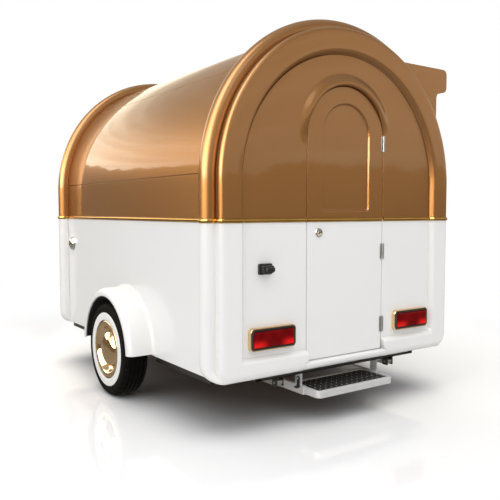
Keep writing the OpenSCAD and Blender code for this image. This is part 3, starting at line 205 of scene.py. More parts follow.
# a paint, plastic, rubber or metal: base colour that drifts a little, uneven roughness and a fine bump
def makeFinish(name, light, dark, rough, roughSpread, metallic=0.0, coat=0.0, coatRough=0.03, grain=400.0,
               bump=0.02, bumpDepth=0.0002, drift=3.0, specular=0.5):
    material, graph = newFinish(name)
    link = graph.links.new
    shader = graph.nodes["Principled BSDF"]
    for key, value in (("Metallic", metallic), ("Coat Weight", coat), ("Coat Roughness", coatRough),
                       ("Specular IOR Level", specular)):
        shader.inputs[key].default_value = value
    place = addNode(graph, "ShaderNodeTexCoord").outputs["Object"]
    cloud = addNode(graph, "ShaderNodeTexNoise", Scale=drift, Detail=4.0, Roughness=0.55)
    link(place, cloud.inputs["Vector"])
    tint = addNode(graph, "ShaderNodeValToRGB")
    for stop, position, colour in zip(tint.color_ramp.elements, (0.3, 0.7), (dark, light)):
        stop.position = position
        stop.color = (*colour, 1)
    link(cloud.outputs["Fac"], tint.inputs["Fac"])
    link(tint.outputs["Color"], shader.inputs["Base Color"])
    fine = addNode(graph, "ShaderNodeTexNoise", Scale=grain, Detail=3.0, Roughness=0.6)
    link(place, fine.inputs["Vector"])
    roughRange = (max(0.0, rough - roughSpread), rough + roughSpread)
    link(rangeNode(graph, fine.outputs["Fac"], (0.0, 1.0), roughRange), shader.inputs["Roughness"])
    dent = addNode(graph, "ShaderNodeBump", Strength=bump, Distance=bumpDepth)
    link(fine.outputs["Fac"], dent.inputs["Height"])
    link(dent.outputs["Normal"], shader.inputs["Normal"])
    return material


finishes = {
    "bronze_paint": makeFinish(
        "bronzePaint", (0.378, 0.181, 0.060), (0.358, 0.169, 0.054), 0.38, 0.03, metallic=0.80, coat=0.74,
        coatRough=0.02, grain=1500.0, bump=0.03, bumpDepth=0.00004, drift=1.2),
    "white_gelcoat": makeFinish(
        "whiteGelcoat", (0.81, 0.808, 0.805), (0.80, 0.797, 0.793), 0.30, 0.02, coat=0.4, coatRough=0.06,
        grain=14.0, bump=0.01, bumpDepth=0.0001, drift=1.0),
    "gold_trim": makeFinish(
        "polishedGold", (0.60, 0.37, 0.11), (0.52, 0.30, 0.08), 0.09, 0.04, metallic=1.0, grain=260.0,
        bumpDepth=0.00008, drift=9.0),
    "black_steel": makeFinish(
        "blackSteel", (0.018, 0.018, 0.019), (0.012, 0.012, 0.012), 0.42, 0.10, coat=0.2, coatRough=0.25,
        grain=700.0, bump=0.12),
    "zinc_steel": makeFinish(
        "zincSteel", (0.56, 0.57, 0.58), (0.42, 0.43, 0.45), 0.38, 0.14, metallic=1.0, grain=120.0,
        bump=0.06, drift=28.0),
    "satin_steel": makeFinish(
        "satinSteel", (0.46, 0.47, 0.49), (0.38, 0.39, 0.41), 0.30, 0.08, metallic=0.75, grain=500.0,
        bump=0.04, bumpDepth=0.0001, drift=12.0),
    "chrome": makeFinish(
        "chromePlate", (0.78, 0.79, 0.80), (0.72, 0.73, 0.75), 0.06, 0.03, metallic=1.0, grain=200.0,
        bump=0.01, bumpDepth=0.0001, drift=10.0),
    "satin_alloy": makeFinish(
        "satinAlloy", (0.78, 0.79, 0.80), (0.72, 0.73, 0.75), 0.34, 0.08, metallic=0.4, grain=650.0,
        bump=0.05, bumpDepth=0.0001, drift=14.0),
    "grip_rubber": makeFinish(
        "gripRubber", (0.022, 0.022, 0.022), (0.014, 0.014, 0.014), 0.55, 0.12, grain=900.0, bump=0.18,
        specular=0.4),
    "black_plastic": makeFinish(
        "blackPlastic", (0.017, 0.017, 0.018), (0.012, 0.012, 0.012), 0.40, 0.08, grain=800.0, bump=0.12),
    "red_lens": makeFinish(
        "redLens", (0.19, 0.002, 0.003), (0.11, 0.001, 0.002), 0.22, 0.06, coat=0.05, grain=300.0, bump=0.03,
        drift=16.0, specular=0.06),
    "tyre_rubber": makeFinish(
        "tyreRubber", (0.004, 0.004, 0.004), (0.003, 0.003, 0.003), 0.66, 0.10, grain=350.0, bump=0.15,
        bumpDepth=0.0004, specular=0.07),
    "white_rubber": makeFinish("whiteRubber", (0.80, 0.80, 0.79), (0.74, 0.74, 0.72), 0.45, 0.08, bump=0.06),
    "oak_board": makeFinish(
        "oakBoard", (0.42, 0.26, 0.13), (0.27, 0.15, 0.07), 0.45, 0.10, grain=180.0, bump=0.10,
        bumpDepth=0.0004, drift=14.0),
}
paleGold = makeFinish("paleGold", (0.84, 0.64, 0.40), (0.78, 0.57, 0.34), 0.06, 0.02, metallic=1.0,
                      grain=200.0, bump=0.01, bumpDepth=0.00005, drift=7.0)

# the lens carries a painted highlight: brighter red near its lower corners, standing for light off the
# reflector behind it
lensHighlight = {
    "colour": (0.80, 0.012, 0.010), "middleX": 0.580, "across": (0.030, 0.105), "heights": (0.505, 0.552),
}


def paintLensHighlight(graph):
    base = graph.nodes["Principled BSDF"].inputs["Base Color"]
    plain = base.links[0].from_socket
    split = addNode(graph, "ShaderNodeSeparateXYZ")
    graph.links.new(addNode(graph, "ShaderNodeTexCoord").outputs["Object"], split.inputs[0])
    side = mathNode(graph, "ABSOLUTE", split.outputs["X"])
    off = mathNode(graph, "ABSOLUTE", mathNode(graph, "SUBTRACT", side, lensHighlight["middleX"]))
    sideShare = rangeNode(graph, off, lensHighlight["across"], (0.0, 1.0), "SMOOTHSTEP")
    footShare = rangeNode(graph, split.outputs["Z"], lensHighlight["heights"], (1.0, 0.0), "SMOOTHSTEP")
    # the painted highlight is mixed into the lens's base colour
    mix = addNode(graph, "ShaderNodeMix", data_type="RGBA")
    mix.inputs["B"].default_value = (*lensHighlight["colour"], 1)
    graph.links.new(mathNode(graph, "MULTIPLY", sideShare, footShare), mix.inputs["Factor"])
    graph.links.new(plain, mix.inputs["A"])
    graph.links.new(mix.outputs["Result"], base)


paintLensHighlight(finishes["red_lens"].node_tree)
print("finishes made:", len(finishes) + 1)


# camera, floor and light

view = {
    "place": (-2.7326, -4.7176, 1.2664), "yawDeg": 34.744, "pitchDeg": -3.497, "lens": 45.52, "sensor": 36.0,
    "clipEnd": 200,
}
camera = bpy.data.objects.new("camera", bpy.data.cameras.new("camera"))
camera.data.sensor_width = view["sensor"]
camera.data.lens = view["lens"]
camera.location = view["place"]
camera.rotation_euler = (radians(90 + view["pitchDeg"]), 0, -radians(view["yawDeg"]))
camera.data.clip_end = view["clipEnd"]
scene.collection.objects.link(camera)
scene.camera = camera

# pale floor with a faint sheen near the object; beneath the object it carries a painted shadow, a darker tone
# with its sheen switched off; white further out
floorLook = {
    "half": 60.0, "near": (0.80, 0.80, 0.805, 1), "shine": 0.14, "rough": 0.07, "sheenFade": (2.5, 6.0),
    "whiteFade": (2.7, 6.0), "shadeMiddle": (0.0, -0.59, 0.0), "shadeHalf": (0.76, 1.0, 0.0),
    "shadeFade": (0.0, 0.42), "shade": (0.42, 0.42, 0.43, 1),
}
floorMesh = bpy.data.meshes.new("studioFloor")
half = floorLook["half"]
corners = [(-half, -half, 0), (half, -half, 0), (half, half, 0), (-half, half, 0)]
floorMesh.from_pydata(corners, [], [(0, 1, 2, 3)])
studioFloor = bpy.data.objects.new("studioFloor", floorMesh)
scene.collection.objects.link(studioFloor)
floorFinish, ground = newFinish("floorFinish")
spot = addNode(ground, "ShaderNodeTexCoord").outputs["Object"]
away = vectorNode(ground, "LENGTH", spot)
# painted shadow: the floor is darker inside a soft rectangle under the body, and its sheen is switched off
# there
outward = vectorNode(ground, "ABSOLUTE", vectorNode(ground, "SUBTRACT", spot, floorLook["shadeMiddle"]))
outward = vectorNode(ground, "MAXIMUM", vectorNode(ground, "SUBTRACT", outward, floorLook["shadeHalf"]))
beyond = vectorNode(ground, "LENGTH", outward)
unshadowedShare = rangeNode(ground, beyond, floorLook["shadeFade"], (0.0, 1.0), "SMOOTHSTEP")
shadowTone = addNode(ground, "ShaderNodeMix", data_type="RGBA")
shadowTone.inputs["A"].default_value = floorLook["shade"]
shadowTone.inputs["B"].default_value = floorLook["near"]
ground.links.new(unshadowedShare, shadowTone.inputs["Factor"])
matt = addNode(ground, "ShaderNodeBsdfDiffuse")
ground.links.new(shadowTone.outputs["Result"], matt.inputs["Color"])
shine = addNode(ground, "ShaderNodeBsdfGlossy", Roughness=floorLook["rough"])
nearSheen = rangeNode(ground, away, floorLook["sheenFade"], (floorLook["shine"], 0.0))
sheenShare = mathNode(ground, "MULTIPLY", nearSheen, unshadowedShare)
sheen = mixShader(ground, sheenShare, matt.outputs[0], shine.outputs[0])
glow = addNode(ground, "ShaderNodeEmission")
whiteShare = rangeNode(ground, away, floorLook["whiteFade"], (0.0, 1.0))
surface = mixShader(ground, whiteShare, sheen, glow.outputs[0])
ground.links.new(surface, ground.nodes["Material Output"].inputs["Surface"])
floorMesh.materials.append(floorFinish)
studioFloor.visible_glossy = False

# matt surfaces take a plain bright sky; paint and metal mirror dark trees under streaked cloud
plainStops = [
    (0.0, (0.30, 0.30, 0.30)), (0.50, (0.12, 0.12, 0.12)), (0.61, (0.52, 0.52, 0.52)),
    (0.74, (1.03, 1.03, 1.03)), (1.0, (1.95, 1.95, 1.95)),
]
mirrorStops = [
    (0.0, (0.36, 0.34, 0.31)), (0.360, (0.30, 0.27, 0.23)), (0.385, (0.19, 0.155, 0.11)),
    (0.531, (0.15, 0.12, 0.085)), (0.535, (1.20, 1.06, 0.84)), (0.60, (0.95, 0.85, 0.66)),
    (0.70, (0.49, 0.445, 0.36)), (0.80, (0.34, 0.32, 0.275)), (1.0, (0.44, 0.44, 0.41)),
]
# each noise is (scale, detail, roughness); each range is where a fade starts and ends
mirrorLook = {
    "hills": (2.6, 8.0, 0.62), "hillAmount": 0.12, "trees": (13.0, 6.0, 0.6), "treeAmount": 0.07,
    "clouds": (1.6, 4.0, 0.5), "cloudScale": (1.2, 1.2, 16.0), "cloudRange": (0.40, 0.64),
    "cloudLight": (0.86, 1.22), "liftRange": (-0.1, 0.7), "sideLift": 0.11, "leftShare": 0.8,
    "sideRange": (0.05, 0.92), "sideBoost": 2.35, "landRange": (0.04, 0.07), "highRange": (0.10, 0.44),
    "highShare": 0.3, "glint": 9.0, "glintSide": (-0.86, -0.50), "glintFront": (0.20, 0.55),
}
world = bpy.data.worlds.new("studioSky")
world.use_nodes = True
scene.world = world
sky = world.node_tree
sky.nodes.clear()


def skyMath(operation, a, b):
    return mathNode(sky, operation, a, b)


def skyFade(source, fromRange, toRange):
    return rangeNode(sky, source, fromRange, toRange, "SMOOTHSTEP")


def skyNoise(vector, scale, detail, roughness):
    made = addNode(sky, "ShaderNodeTexNoise", Scale=scale, Detail=detail, Roughness=roughness)
    sky.links.new(vector, made.inputs["Vector"])
    return made.outputs["Fac"]


# a noise that lifts and lowers the horizon
def skyRise(noise, amount):
    return skyMath("MULTIPLY", skyMath("SUBTRACT", skyNoise(direction, *noise), 0.5), amount)


def skyRamp(stops, source):
    ramp = addNode(sky, "ShaderNodeValToRGB")
    while len(ramp.color_ramp.elements) < len(stops):
        ramp.color_ramp.elements.new(0.5)
    for stop, (position, colour) in zip(ramp.color_ramp.elements, stops):
        stop.position = position
        stop.color = (*colour, 1)
    sky.links.new(rangeNode(sky, source, (-1.0, 1.0), (0.0, 1.0)), ramp.inputs["Fac"])
    return ramp.outputs["Color"]


def background(colour=None):
    made = addNode(sky, "ShaderNodeBackground", Strength=1.0)
    if colour:
        sky.links.new(colour, made.inputs["Color"])
    return made


look = mirrorLook
direction = addNode(sky, "ShaderNodeTexCoord").outputs["Generated"]
split = addNode(sky, "ShaderNodeSeparateXYZ")
sky.links.new(direction, split.inputs[0])
toX, toY, toZ = split.outputs
stretch = addNode(sky, "ShaderNodeMapping")
stretch.inputs["Scale"].default_value = look["cloudScale"]
sky.links.new(direction, stretch.inputs["Vector"])
rise = skyMath("ADD", skyRise(look["hills"], look["hillAmount"]), skyRise(look["trees"], look["treeAmount"]))
lift = skyFade(toY, look["liftRange"], (0.0, look["sideLift"]))
height = skyMath("SUBTRACT", skyMath("ADD", toZ, rise), lift)
leftward = skyMath("SUBTRACT", toY, skyMath("MULTIPLY", toX, look["leftShare"]))
cloud = skyNoise(stretch.outputs["Vector"], *look["clouds"])
cloudLight = skyFade(cloud, look["cloudRange"], look["cloudLight"])
bright = skyMath("MULTIPLY", skyFade(leftward, look["sideRange"], (1.0, look["sideBoost"])), cloudLight)
aboveLand = skyFade(height, look["landRange"], (0.0, 1.0))
lowShare = skyMath("MULTIPLY", aboveLand, skyFade(height, look["highRange"], (1.0, look["highShare"])))
boost = skyMath("ADD", skyMath("MULTIPLY", skyMath("SUBTRACT", bright, 1.0), lowShare), 1.0)
# a brighter strip of sky to the left, which the round beads catch; level keeps the division off zero
level = skyMath("POWER", skyMath("SUBTRACT", 1.0001, skyMath("MULTIPLY", toZ, toZ)), 0.5)
glintSide = skyFade(skyMath("DIVIDE", toX, level), look["glintSide"], (look["glint"], 0.0))
glintFront = skyFade(skyMath("DIVIDE", toY, level), look["glintFront"], (1.0, 0.0))
glint = skyMath("MULTIPLY", glintSide, glintFront)
boost = skyMath("ADD", boost, skyMath("MULTIPLY", glint, aboveLand))
mirrorSky = background(skyRamp(mirrorStops, height))
sky.links.new(boost, mirrorSky.inputs["Strength"])
plainSky = background(skyRamp(plainStops, toZ))
backdrop = background()
backdrop.inputs["Color"].default_value = (1, 1, 1, 1)
rays = addNode(sky, "ShaderNodeLightPath")
glossy = mixShader(sky, rays.outputs["Is Glossy Ray"], plainSky.outputs[0], mirrorSky.outputs[0])
seen = mixShader(sky, rays.outputs["Is Camera Ray"], glossy, backdrop.outputs[0])
sky.links.new(seen, addNode(sky, "ShaderNodeOutputWorld").inputs["Surface"])

softBoxes = {
    "topBox": {
        "place": (-1.2, -5.5, 5.2), "aim": (0, -1.0, 1.2), "size": (2.4, 2.4), "power": 22, "onMatt": True},
    "leftBox": {
        "place": (-4.7, -3.1, 5.2), "aim": (0, -0.6, 1.0), "size": (3.0, 4.0), "power": 68, "onMatt": True},
    "wheelBox": {
        "place": (-2.7, 4.9, 2.4), "aim": (-1.1, -0.6, 0.5), "size": (5.5, 3.2), "power": 140,
        "onMatt": False},
}
for name, box in softBoxes.items():
    light = bpy.data.lights.new(name, "AREA")
    light.shape = "RECTANGLE"
    light.size, light.size_y = box["size"]
    light.energy = box["power"]
    lamp = bpy.data.objects.new(name, light)
    lamp.location = box["place"]
    lamp.rotation_euler = (Vector(box["aim"]) - Vector(box["place"])).to_track_quat("-Z", "Y").to_euler()
    lamp.visible_diffuse = box["onMatt"]
    lamp.visible_camera = False
    box["lamp"] = lamp
    scene.collection.objects.link(lamp)
print("camera, floor and light set")


# CAD nodes: their own finish and rounded edges; the widths named are for nodes that no piece replaces

slotOf = {part["node"]: part["material_slot"] for part in frame["record"]["subparts"]}
roundings = {
    "default": 0.0025, "chassis_frame": 0.004, "drawbar": 0.005, "floor_panel": 0.003,
    "serving_portal": 0.004, "step_frame": 0.003, "step_tread": 0.0018, "step_guides": 0.0012,
    "lock_plug": 0.0005, "serving_hatch": 0.005, "hatch_fittings": 0.0008, "strut_rods": 0.001,
}
for name, part in nodes.items():
    part.data.materials.clear()
    part.data.materials.append(finishes[slotOf[name]])
    part.data.polygons.foreach_set("use_smooth", [True] * len(part.data.polygons))
    weld = part.modifiers.new("joinFaces", "WELD")
    weld.merge_threshold = 0.00002
    soften(part, roundings.get(name, roundings["default"]), harden=False)
print("CAD nodes dressed:", len(nodes))


# end rings: flat band, rounded edge, groove and bead

ring = {
    "recessLip": 0.002, "curveStart": 0.003, "curvePull": 0.013, "recessCurve": 0.028, "curvePoints": 7,
    "edgePoints": 8, "edgeEnd": 45, "beadPoints": 30, "beadStart": -110, "beadEnd": 107.5, "arcSteps": 120,
}


# curve from the recess floor up to the flat band; way is 1 where the band has the larger measure
def recessPoints(edge, way):
    start, pull, end = [edge + way * ring[key] for key in ("curveStart", "curvePull", "recessCurve")]
    return bezierPoints((start, body["recessD"]), (pull, 0), (end, 0), ring["curvePoints"])


# (radius, depth) sections: the band from the recess to its rounded edge, and the bead with its back
def bandSection():
    inner, middle, edgeR = body["recessR"], body["edgeC"], body["edgeR"]
    section = [(inner, body["backD"]), (inner, body["recessD"] + ring["recessLip"])] + recessPoints(inner, 1)
    start = inner + ring["recessCurve"]
    section += [(start + (middle - start) * t, 0) for t in (0.25, 0.5, 0.75)]
    return section + arcPoints(middle, edgeR, edgeR, -90, ring["edgeEnd"], ring["edgePoints"])


def beadSection():
    section = arcPoints(body["beadC"], body["beadY"], body["beadR"], ring["beadStart"], ring["beadEnd"],
                        ring["beadPoints"])
    return section + [(body["innerX"], body["sideY"]), (body["innerX"], body["backD"])]


def ringSection():
    return bandSection() + beadSection()


def atRear(depth):
    return body["rearY"] + depth


def atFront(depth):
    return frontY - depth


# the section turned to one angle of the arch
def archRow(section, atEnd, a):
    return [(u * cos(a), atEnd(v), body["springZ"] + u * sin(a)) for u, v in section]


def archRows(section, atEnd):
    legs = [body["beltZ"] + (body["springZ"] - body["beltZ"]) * t for t in (0, 0.35, 0.7)]
    rows = [[(u, atEnd(v), z) for u, v in section] for z in legs]
    rows += [archRow(section, atEnd, pi * i / ring["arcSteps"]) for i in range(ring["arcSteps"] + 1)]
    rows += [[(-u, atEnd(v), z) for u, v in section] for z in reversed(legs)]
    return rows


bandBack = [(bandSection()[-1][0], body["backD"])]
rearBand = loftPiece("rearArchBand", [archRows(bandSection() + bandBack, atRear)], "trailer", "bronze_paint")
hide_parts("rear_arch_ring")
rearBead = loftPiece("rearArchBead", [archRows(beadSection(), atRear)], "trailer", "bronze_paint")
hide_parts("rear_arch_bead")


# front: the same ring with its flat panel
def archPanel(y):
    r = body["recessR"]
    arch = arcPoints(0, body["springZ"], r, 0, 180, 61)
    return [(-r, y, body["beltZ"]), (r, y, body["beltZ"])] + [(x, y, z) for x, z in arch]


frontYs = (atFront(body["recessD"]), atFront(body["backD"]))
frontLofts = [archRows(ringSection(), atFront), [archPanel(y) for y in frontYs]]
frontArch = loftPiece("frontArch", frontLofts, "trailer", "bronze_paint")
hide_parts("front_upper_shell")
print("end rings made")


# lower shells: the ring's section on the legs flows round the corner into a plain rounded skirt

skirt = {
    "roundR": 0.050, "cornerR": 0.110, "recessZ": 0.130, "cornerShrink": 0.75, "cornerLeast": 0.028,
    "cornerSteps": 16, "sillHalf": 0.3415, "sillTop": 0.0565, "flatShares": (0.75, 0.144, 0.112),
    "turnDeg": 40, "turnPoints": 12, "backRise": 0.03, "edge": 0.004,
}


# as many points as the ring's section has, so that the two can be joined
def skirtSection():
    r, top, edgePoints = skirt["roundR"], skirt["recessZ"], ring["edgePoints"]
    first, more = skirt["turnDeg"], skirt["turnPoints"]
    section = [(top, body["backD"]), (top, body["recessD"] + ring["recessLip"])] + recessPoints(top, -1)
    section += [(r + (top - ring["recessCurve"] - r) * t, 0) for t in skirt["flatShares"]]
    turn = [radians(first * i / (edgePoints - 1)) for i in range(edgePoints)]
    turn += [radians(first + (90 - first) * (i + 1) / more) for i in range(more)]
    section += [(r - r * sin(t), r - r * cos(t)) for t in turn]
    under = ring["beadPoints"] - more
    section += [(0, r + (body["sideY"] - r) * (i + 1) / under) for i in range(under)]
    return section + [(skirt["backRise"], body["sideY"]), (skirt["backRise"], body["backD"])]


def smooth(t):
    t = min(max(t, 0.0), 1.0)
    return t * t * (3 - 2 * t)


# rows from the belt down the +x leg, round the corner and along the skirt to endX(height above its foot)
def lowerRows(atEnd, endX):
    outer, low, high = body["ringR"], body["bottomZ"], body["beltZ"]
    leg = [(outer - u, v) for u, v in ringSection()]
    foot = skirtSection()
    corner = [max(skirt["cornerR"] - skirt["cornerShrink"] * d, skirt["cornerLeast"]) for d, _ in leg]
    points = list(zip(leg, foot, corner))
    rows = []
    for t in (0, 0.3, 0.6, 0.8, 0.93):
        row = [(outer - d, atEnd(v), high + t * (low + fd + r - high)) for (d, v), (fd, _), r in points]
        rows.append(row)
    for i in range(skirt["cornerSteps"] + 1):
        a = pi / 2 * i / skirt["cornerSteps"]
        w = smooth(i / skirt["cornerSteps"])
        row = []
        for (d, v), (fd, fv), r in points:
            cx, cz = outer - d - r, low + fd + r
            row.append((cx + r * cos(a), atEnd(v + (fv - v) * w), cz - r * sin(a)))
        rows.append(row)
    for t in (0.08, 0.3, 0.65, 1.0):
        row = []
        for (d, _), (fd, fv), r in points:
            cx = outer - d - r
            row.append((cx + (endX(fd) - cx) * t, atEnd(fv), low + fd))
        rows.append(row)
    return rows


rearRows = lowerRows(atRear, lambda rise: skirt["sillHalf"] if rise < skirt["sillTop"] else body["frameHalf"])
rearLower = loftPiece("rearLowerShell", [rearRows, mirrorRows(rearRows)], "trailer", "white_gelcoat")
soften(rearLower, skirt["edge"], 3, 60)
evenShade(rearLower)
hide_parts("rear_lower_ring")
frontHalf = lowerRows(atFront, lambda rise: 0.0)
frontRows = frontHalf + list(reversed(mirrorRows(frontHalf[:-1])))
panelFoot = body["bottomZ"] + skirt["recessZ"]
frontPlate = slabRows(-body["recessR"], body["recessR"], panelFoot, body["beltZ"], frontYs)
frontLower = loftPiece("frontLowerShell", [frontRows, frontPlate], "trailer", "white_gelcoat")
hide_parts("front_lower_shell")
print("lower shells made")


# flat and curved panels between the rings

rearPanel = {"outerX": 0.777, "doorFootZ": 0.370, "edge": 0.003}
rearFace, rearBack = atRear(body["recessD"]), atRear(body["backD"])


def plainPanel(name, spans, footZ, rides, node):
    lofts = [slabRows(lowX, highX, footZ, body["beltZ"], (rearFace, rearBack)) for lowX, highX in spans]
    piece = loftPiece(name, lofts, rides, "white_gelcoat")
    soften(piece, rearPanel["edge"], 3)
    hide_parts(node)


besideDoor = (body["frameHalf"], rearPanel["outerX"])
plainPanel("rearLowerPanels", (besideDoor, (-besideDoor[1], -besideDoor[0])), panelFoot, "trailer",
           "rear_lower_panels")
plainPanel("doorLowerPanel", ((-body["doorHalf"], body["doorHalf"]),), rearPanel["doorFootZ"], "rear_door",
           "door_lower_panel")

# sill under the door: flat top, small upper round and a fuller lower one
sill = {
    "half": 0.341, "top": 0.3665, "foot": 0.316, "upperR": 0.012, "lowerR": 0.034, "back": 0.0585,
    "edge": 0.002,
}
sillSection = [(sill["back"], sill["top"])]
sillSection += arcPoints(sill["upperR"], sill["top"] - sill["upperR"], sill["upperR"], 90, 180, 7)
sillSection += arcPoints(sill["lowerR"], sill["foot"] + sill["lowerR"], sill["lowerR"], 180, 270, 12)
sillSection.append((sill["back"], sill["foot"]))
sillRows = [[(x, atRear(y), z) for y, z in sillSection] for x in (-sill["half"], sill["half"])]
rearSill = loftPiece("rearSill", [sillRows], "trailer", "white_gelcoat")
soften(rearSill, sill["edge"], 2, 60)
evenShade(rearSill)
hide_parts("rear_sill")

sideWall = {
    "bottomZ": 0.330, "archR": 0.382, "archY": 1.240, "archZ": 0.325, "archSteps": 40, "archMargin": 0.2,
    "leftTop": 1.215, "rightTop": 1.200,
}


def sidePanelRows(side, topZ):
    s = sideWall
    half = sqrt(s["archR"] ** 2 - (s["bottomZ"] - s["archZ"]) ** 2) + s["archMargin"]
    start = asin((s["bottomZ"] - s["archZ"]) / s["archR"])
    line = [(body["sideY"], s["bottomZ"]), (s["archY"] - half, s["bottomZ"])]
    for i in range(s["archSteps"] + 1):
        a = pi - start - (pi - 2 * start) * i / s["archSteps"]
        line.append((s["archY"] + s["archR"] * cos(a), s["archZ"] + s["archR"] * sin(a)))
    line += [(s["archY"] + half, s["bottomZ"]), (body["length"] - body["sideY"], s["bottomZ"])]
    outer, inner = side * body["sideX"], side * body["innerX"]
    rows = []
    for y, z in line:
        rows.append([(x, atRear(y), h) for x, h in ((outer, z), (outer, topZ), (inner, topZ), (inner, z))])
    return rows


for side, name, node, topZ in ((-1, "leftLowerPanel", "left_lower_panel", sideWall["leftTop"]),
                               (1, "rightLowerPanel", "right_lower_panel", sideWall["rightTop"])):
    panel = loftPiece(name, [sidePanelRows(side, topZ)], "trailer", "white_gelcoat")
    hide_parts(node)

vault = {
    "outer": 0.935, "inner": 0.905, "edge": 0.004, "endGap": 0.001, "gap": 0.0009, "stepDeg": 1.5,
    "lowSeamDeg": 2.452, "topSeamDeg": 45.0, "roofEndDeg": 65.38, "seamRound": 0.0025,
}


# (radius, depth) section of a thick panel with rounded edges
def vaultSection():
    e, outer, inner = vault["edge"], vault["outer"], vault["inner"]
    start, end = body["sideY"] + vault["endGap"], body["length"] - body["sideY"] - vault["endGap"]
    return (arcPoints(outer - e, end - e, e, 0, 90, 4) + [(inner, end), (inner, start)]
            + arcPoints(outer - e, start + e, e, -90, 0, 4))


def vaultRows(startDeg, endDeg, legFrom=None):
    section = vaultSection()
    gapDeg = degrees(vault["gap"] / vault["outer"])
    rows = []
    if legFrom is not None:
        rows += [[(u, atRear(v), z) for u, v in section] for z in (legFrom, (legFrom + body["springZ"]) / 2)]
    first = startDeg if legFrom is not None else startDeg + gapDeg
    steps = max(2, int((endDeg - startDeg) / vault["stepDeg"]))
    for k in range(steps + 1):
        a = radians(first + (endDeg - gapDeg - first) * k / steps)
        rows.append(archRow(section, atRear, a))
    return rows


for name, node, rows in (
        ("leftUpperPanel", "left_upper_panel", mirrorRows(vaultRows(0, vault["lowSeamDeg"], body["beltZ"]))),
        ("vaultPanel", "vault_panel", mirrorRows(vaultRows(vault["lowSeamDeg"], vault["topSeamDeg"]))),
        ("roofPanel", "roof_panel", mirrorRows(vaultRows(vault["topSeamDeg"], 180 - vault["roofEndDeg"])))):
    panel = loftPiece(name, [rows], "trailer", "bronze_paint")
    soften(panel, vault["seamRound"], 3, 60)
    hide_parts(node)
print("side and roof panels made")


# rear upper panel: flat round the door, with the rain hood moulded over the arch and fading at its ends

hood = {
    "height": 0.024, "leftFade": (1.665, 1.90), "rightFade": (1.75, 1.95), "legSteps": 16, "arcSteps": 72,
    "outerR": 0.7765, "lip": 0.002,
    "profile": [
        (0.0, 0.50), (0.002, 0.78), (0.006, 0.94), (0.012, 1.0), (0.021, 0.98), (0.032, 0.87), (0.043, 0.66),
        (0.053, 0.42), (0.062, 0.20), (0.069, 0.06), (0.075, 0.0), (0.086, 0.0)],
}


def outlineHit(px, pz, nx, nz):
    r = hood["outerR"]
    dz = pz - body["springZ"]
    b, c = px * nx + dz * nz, px * px + dz * dz - r * r
    t = -b + sqrt(b * b - c)
    if pz + t * nz < body["springZ"]:
        t = (copysign(r, nx) - px) / nx
    return px + t * nx, pz + t * nz


# points on the door frame with their outward direction
def hoodStations():
    r, spring = body["frameHalf"], body["doorArchZ"]
    foot, steps = body["beltZ"], hood["legSteps"]
    heights = [foot + (spring - foot) * i / steps for i in range(steps)]
    stations = [(-r, z, -1.0, 0.0) for z in heights]
    for i in range(hood["arcSteps"] + 1):
        a = pi - pi * i / hood["arcSteps"]
        stations.append((r * cos(a), spring + r * sin(a), cos(a), sin(a)))
    return stations + [(r, z, 1.0, 0.0) for z in reversed(heights)]


def hoodRows():
    rows = []
    last = hood["profile"][-1][0]
    for px, pz, nx, nz in hoodStations():
        low, high = hood["leftFade"] if px < 0 else hood["rightFade"]
        h = hood["height"] * smooth((pz - low) / (high - low))
        edge = outlineHit(px, pz, nx, nz)
        row = []
        for d, share in hood["profile"]:
            row.append((px + nx * d, rearFace - h * share + (hood["lip"] if d == 0 else 0), pz + nz * d))
        for t in (0.33, 0.66, 0.99, 1.0):
            x = px + nx * last + (edge[0] - px - nx * last) * t
            z = pz + nz * last + (edge[1] - pz - nz * last) * t
            row.append((x, rearFace + (hood["lip"] if t == 1.0 else 0), z))
        row += [(edge[0], rearBack, edge[1]), (px, rearBack, pz)]
        rows.append(row)
    return rows


rearUpper = loftPiece("rearUpperPanel", [hoodRows()], "trailer", "bronze_paint", sharpDeg=50)
evenShade(rearUpper)
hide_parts("rear_upper_panel")


# door: arched upper half with a sunk arched panel

doorLeaf = {
    "half": body["doorHalf"], "archZ": body["doorArchZ"], "footZ": body["beltZ"], "footR": 0.003,
    "paneHalf": 0.193, "paneArchZ": 1.731, "paneFootZ": 1.270, "paneDeep": 0.012, "sideSteps": 10,
    "arcSteps": 48, "cornerR": 0.018, "cornerSteps": 5,
    "step": [
        (-0.012, 1.0), (-0.006, 1.0), (-0.0035, 0.96), (-0.001, 0.72), (0.001, 0.28), (0.003, 0.05),
        (0.005, 0.0)],
    "face": [(0.1, 0.0), (0.5, 0.0), (0.985, 0.0), (0.996, 0.0008), (1.0, 0.003)],
}


# pairs of points (pane outline with its outward direction, door outline), from the lower right corner round
def doorStations():
    d = doorLeaf
    paneR, footR = d["cornerR"], d["footR"]
    paneLow, doorLow = d["paneFootZ"] + paneR, d["footZ"] + footR
    out = []

    def corner(side, order):
        cx, ex = side * (d["paneHalf"] - paneR), side * (d["half"] - footR)
        for k in order:
            a = pi / 2 * k / d["cornerSteps"]
            nx, nz = side * cos(a), -sin(a)
            out.append((cx + paneR * nx, paneLow + paneR * nz, nx, nz, ex + footR * nx, doorLow + footR * nz))

    def upright(side, order):
        for k in order:
            t = k / d["sideSteps"]
            out.append((side * d["paneHalf"], paneLow + (d["paneArchZ"] - paneLow) * t, side, 0,
                        side * d["half"], doorLow + (d["archZ"] - doorLow) * t))

    corner(1, range(d["cornerSteps"], -1, -1))
    upright(1, range(1, d["sideSteps"]))
    for k in range(d["arcSteps"] + 1):
        a = pi * k / d["arcSteps"]
        nx, nz = cos(a), sin(a)
        out.append((d["paneHalf"] * nx, d["paneArchZ"] + d["paneHalf"] * nz, nx, nz,
                    d["half"] * nx, d["archZ"] + d["half"] * nz))
    upright(-1, range(d["sideSteps"] - 1, 0, -1))
    corner(-1, range(d["cornerSteps"] + 1))
    return out


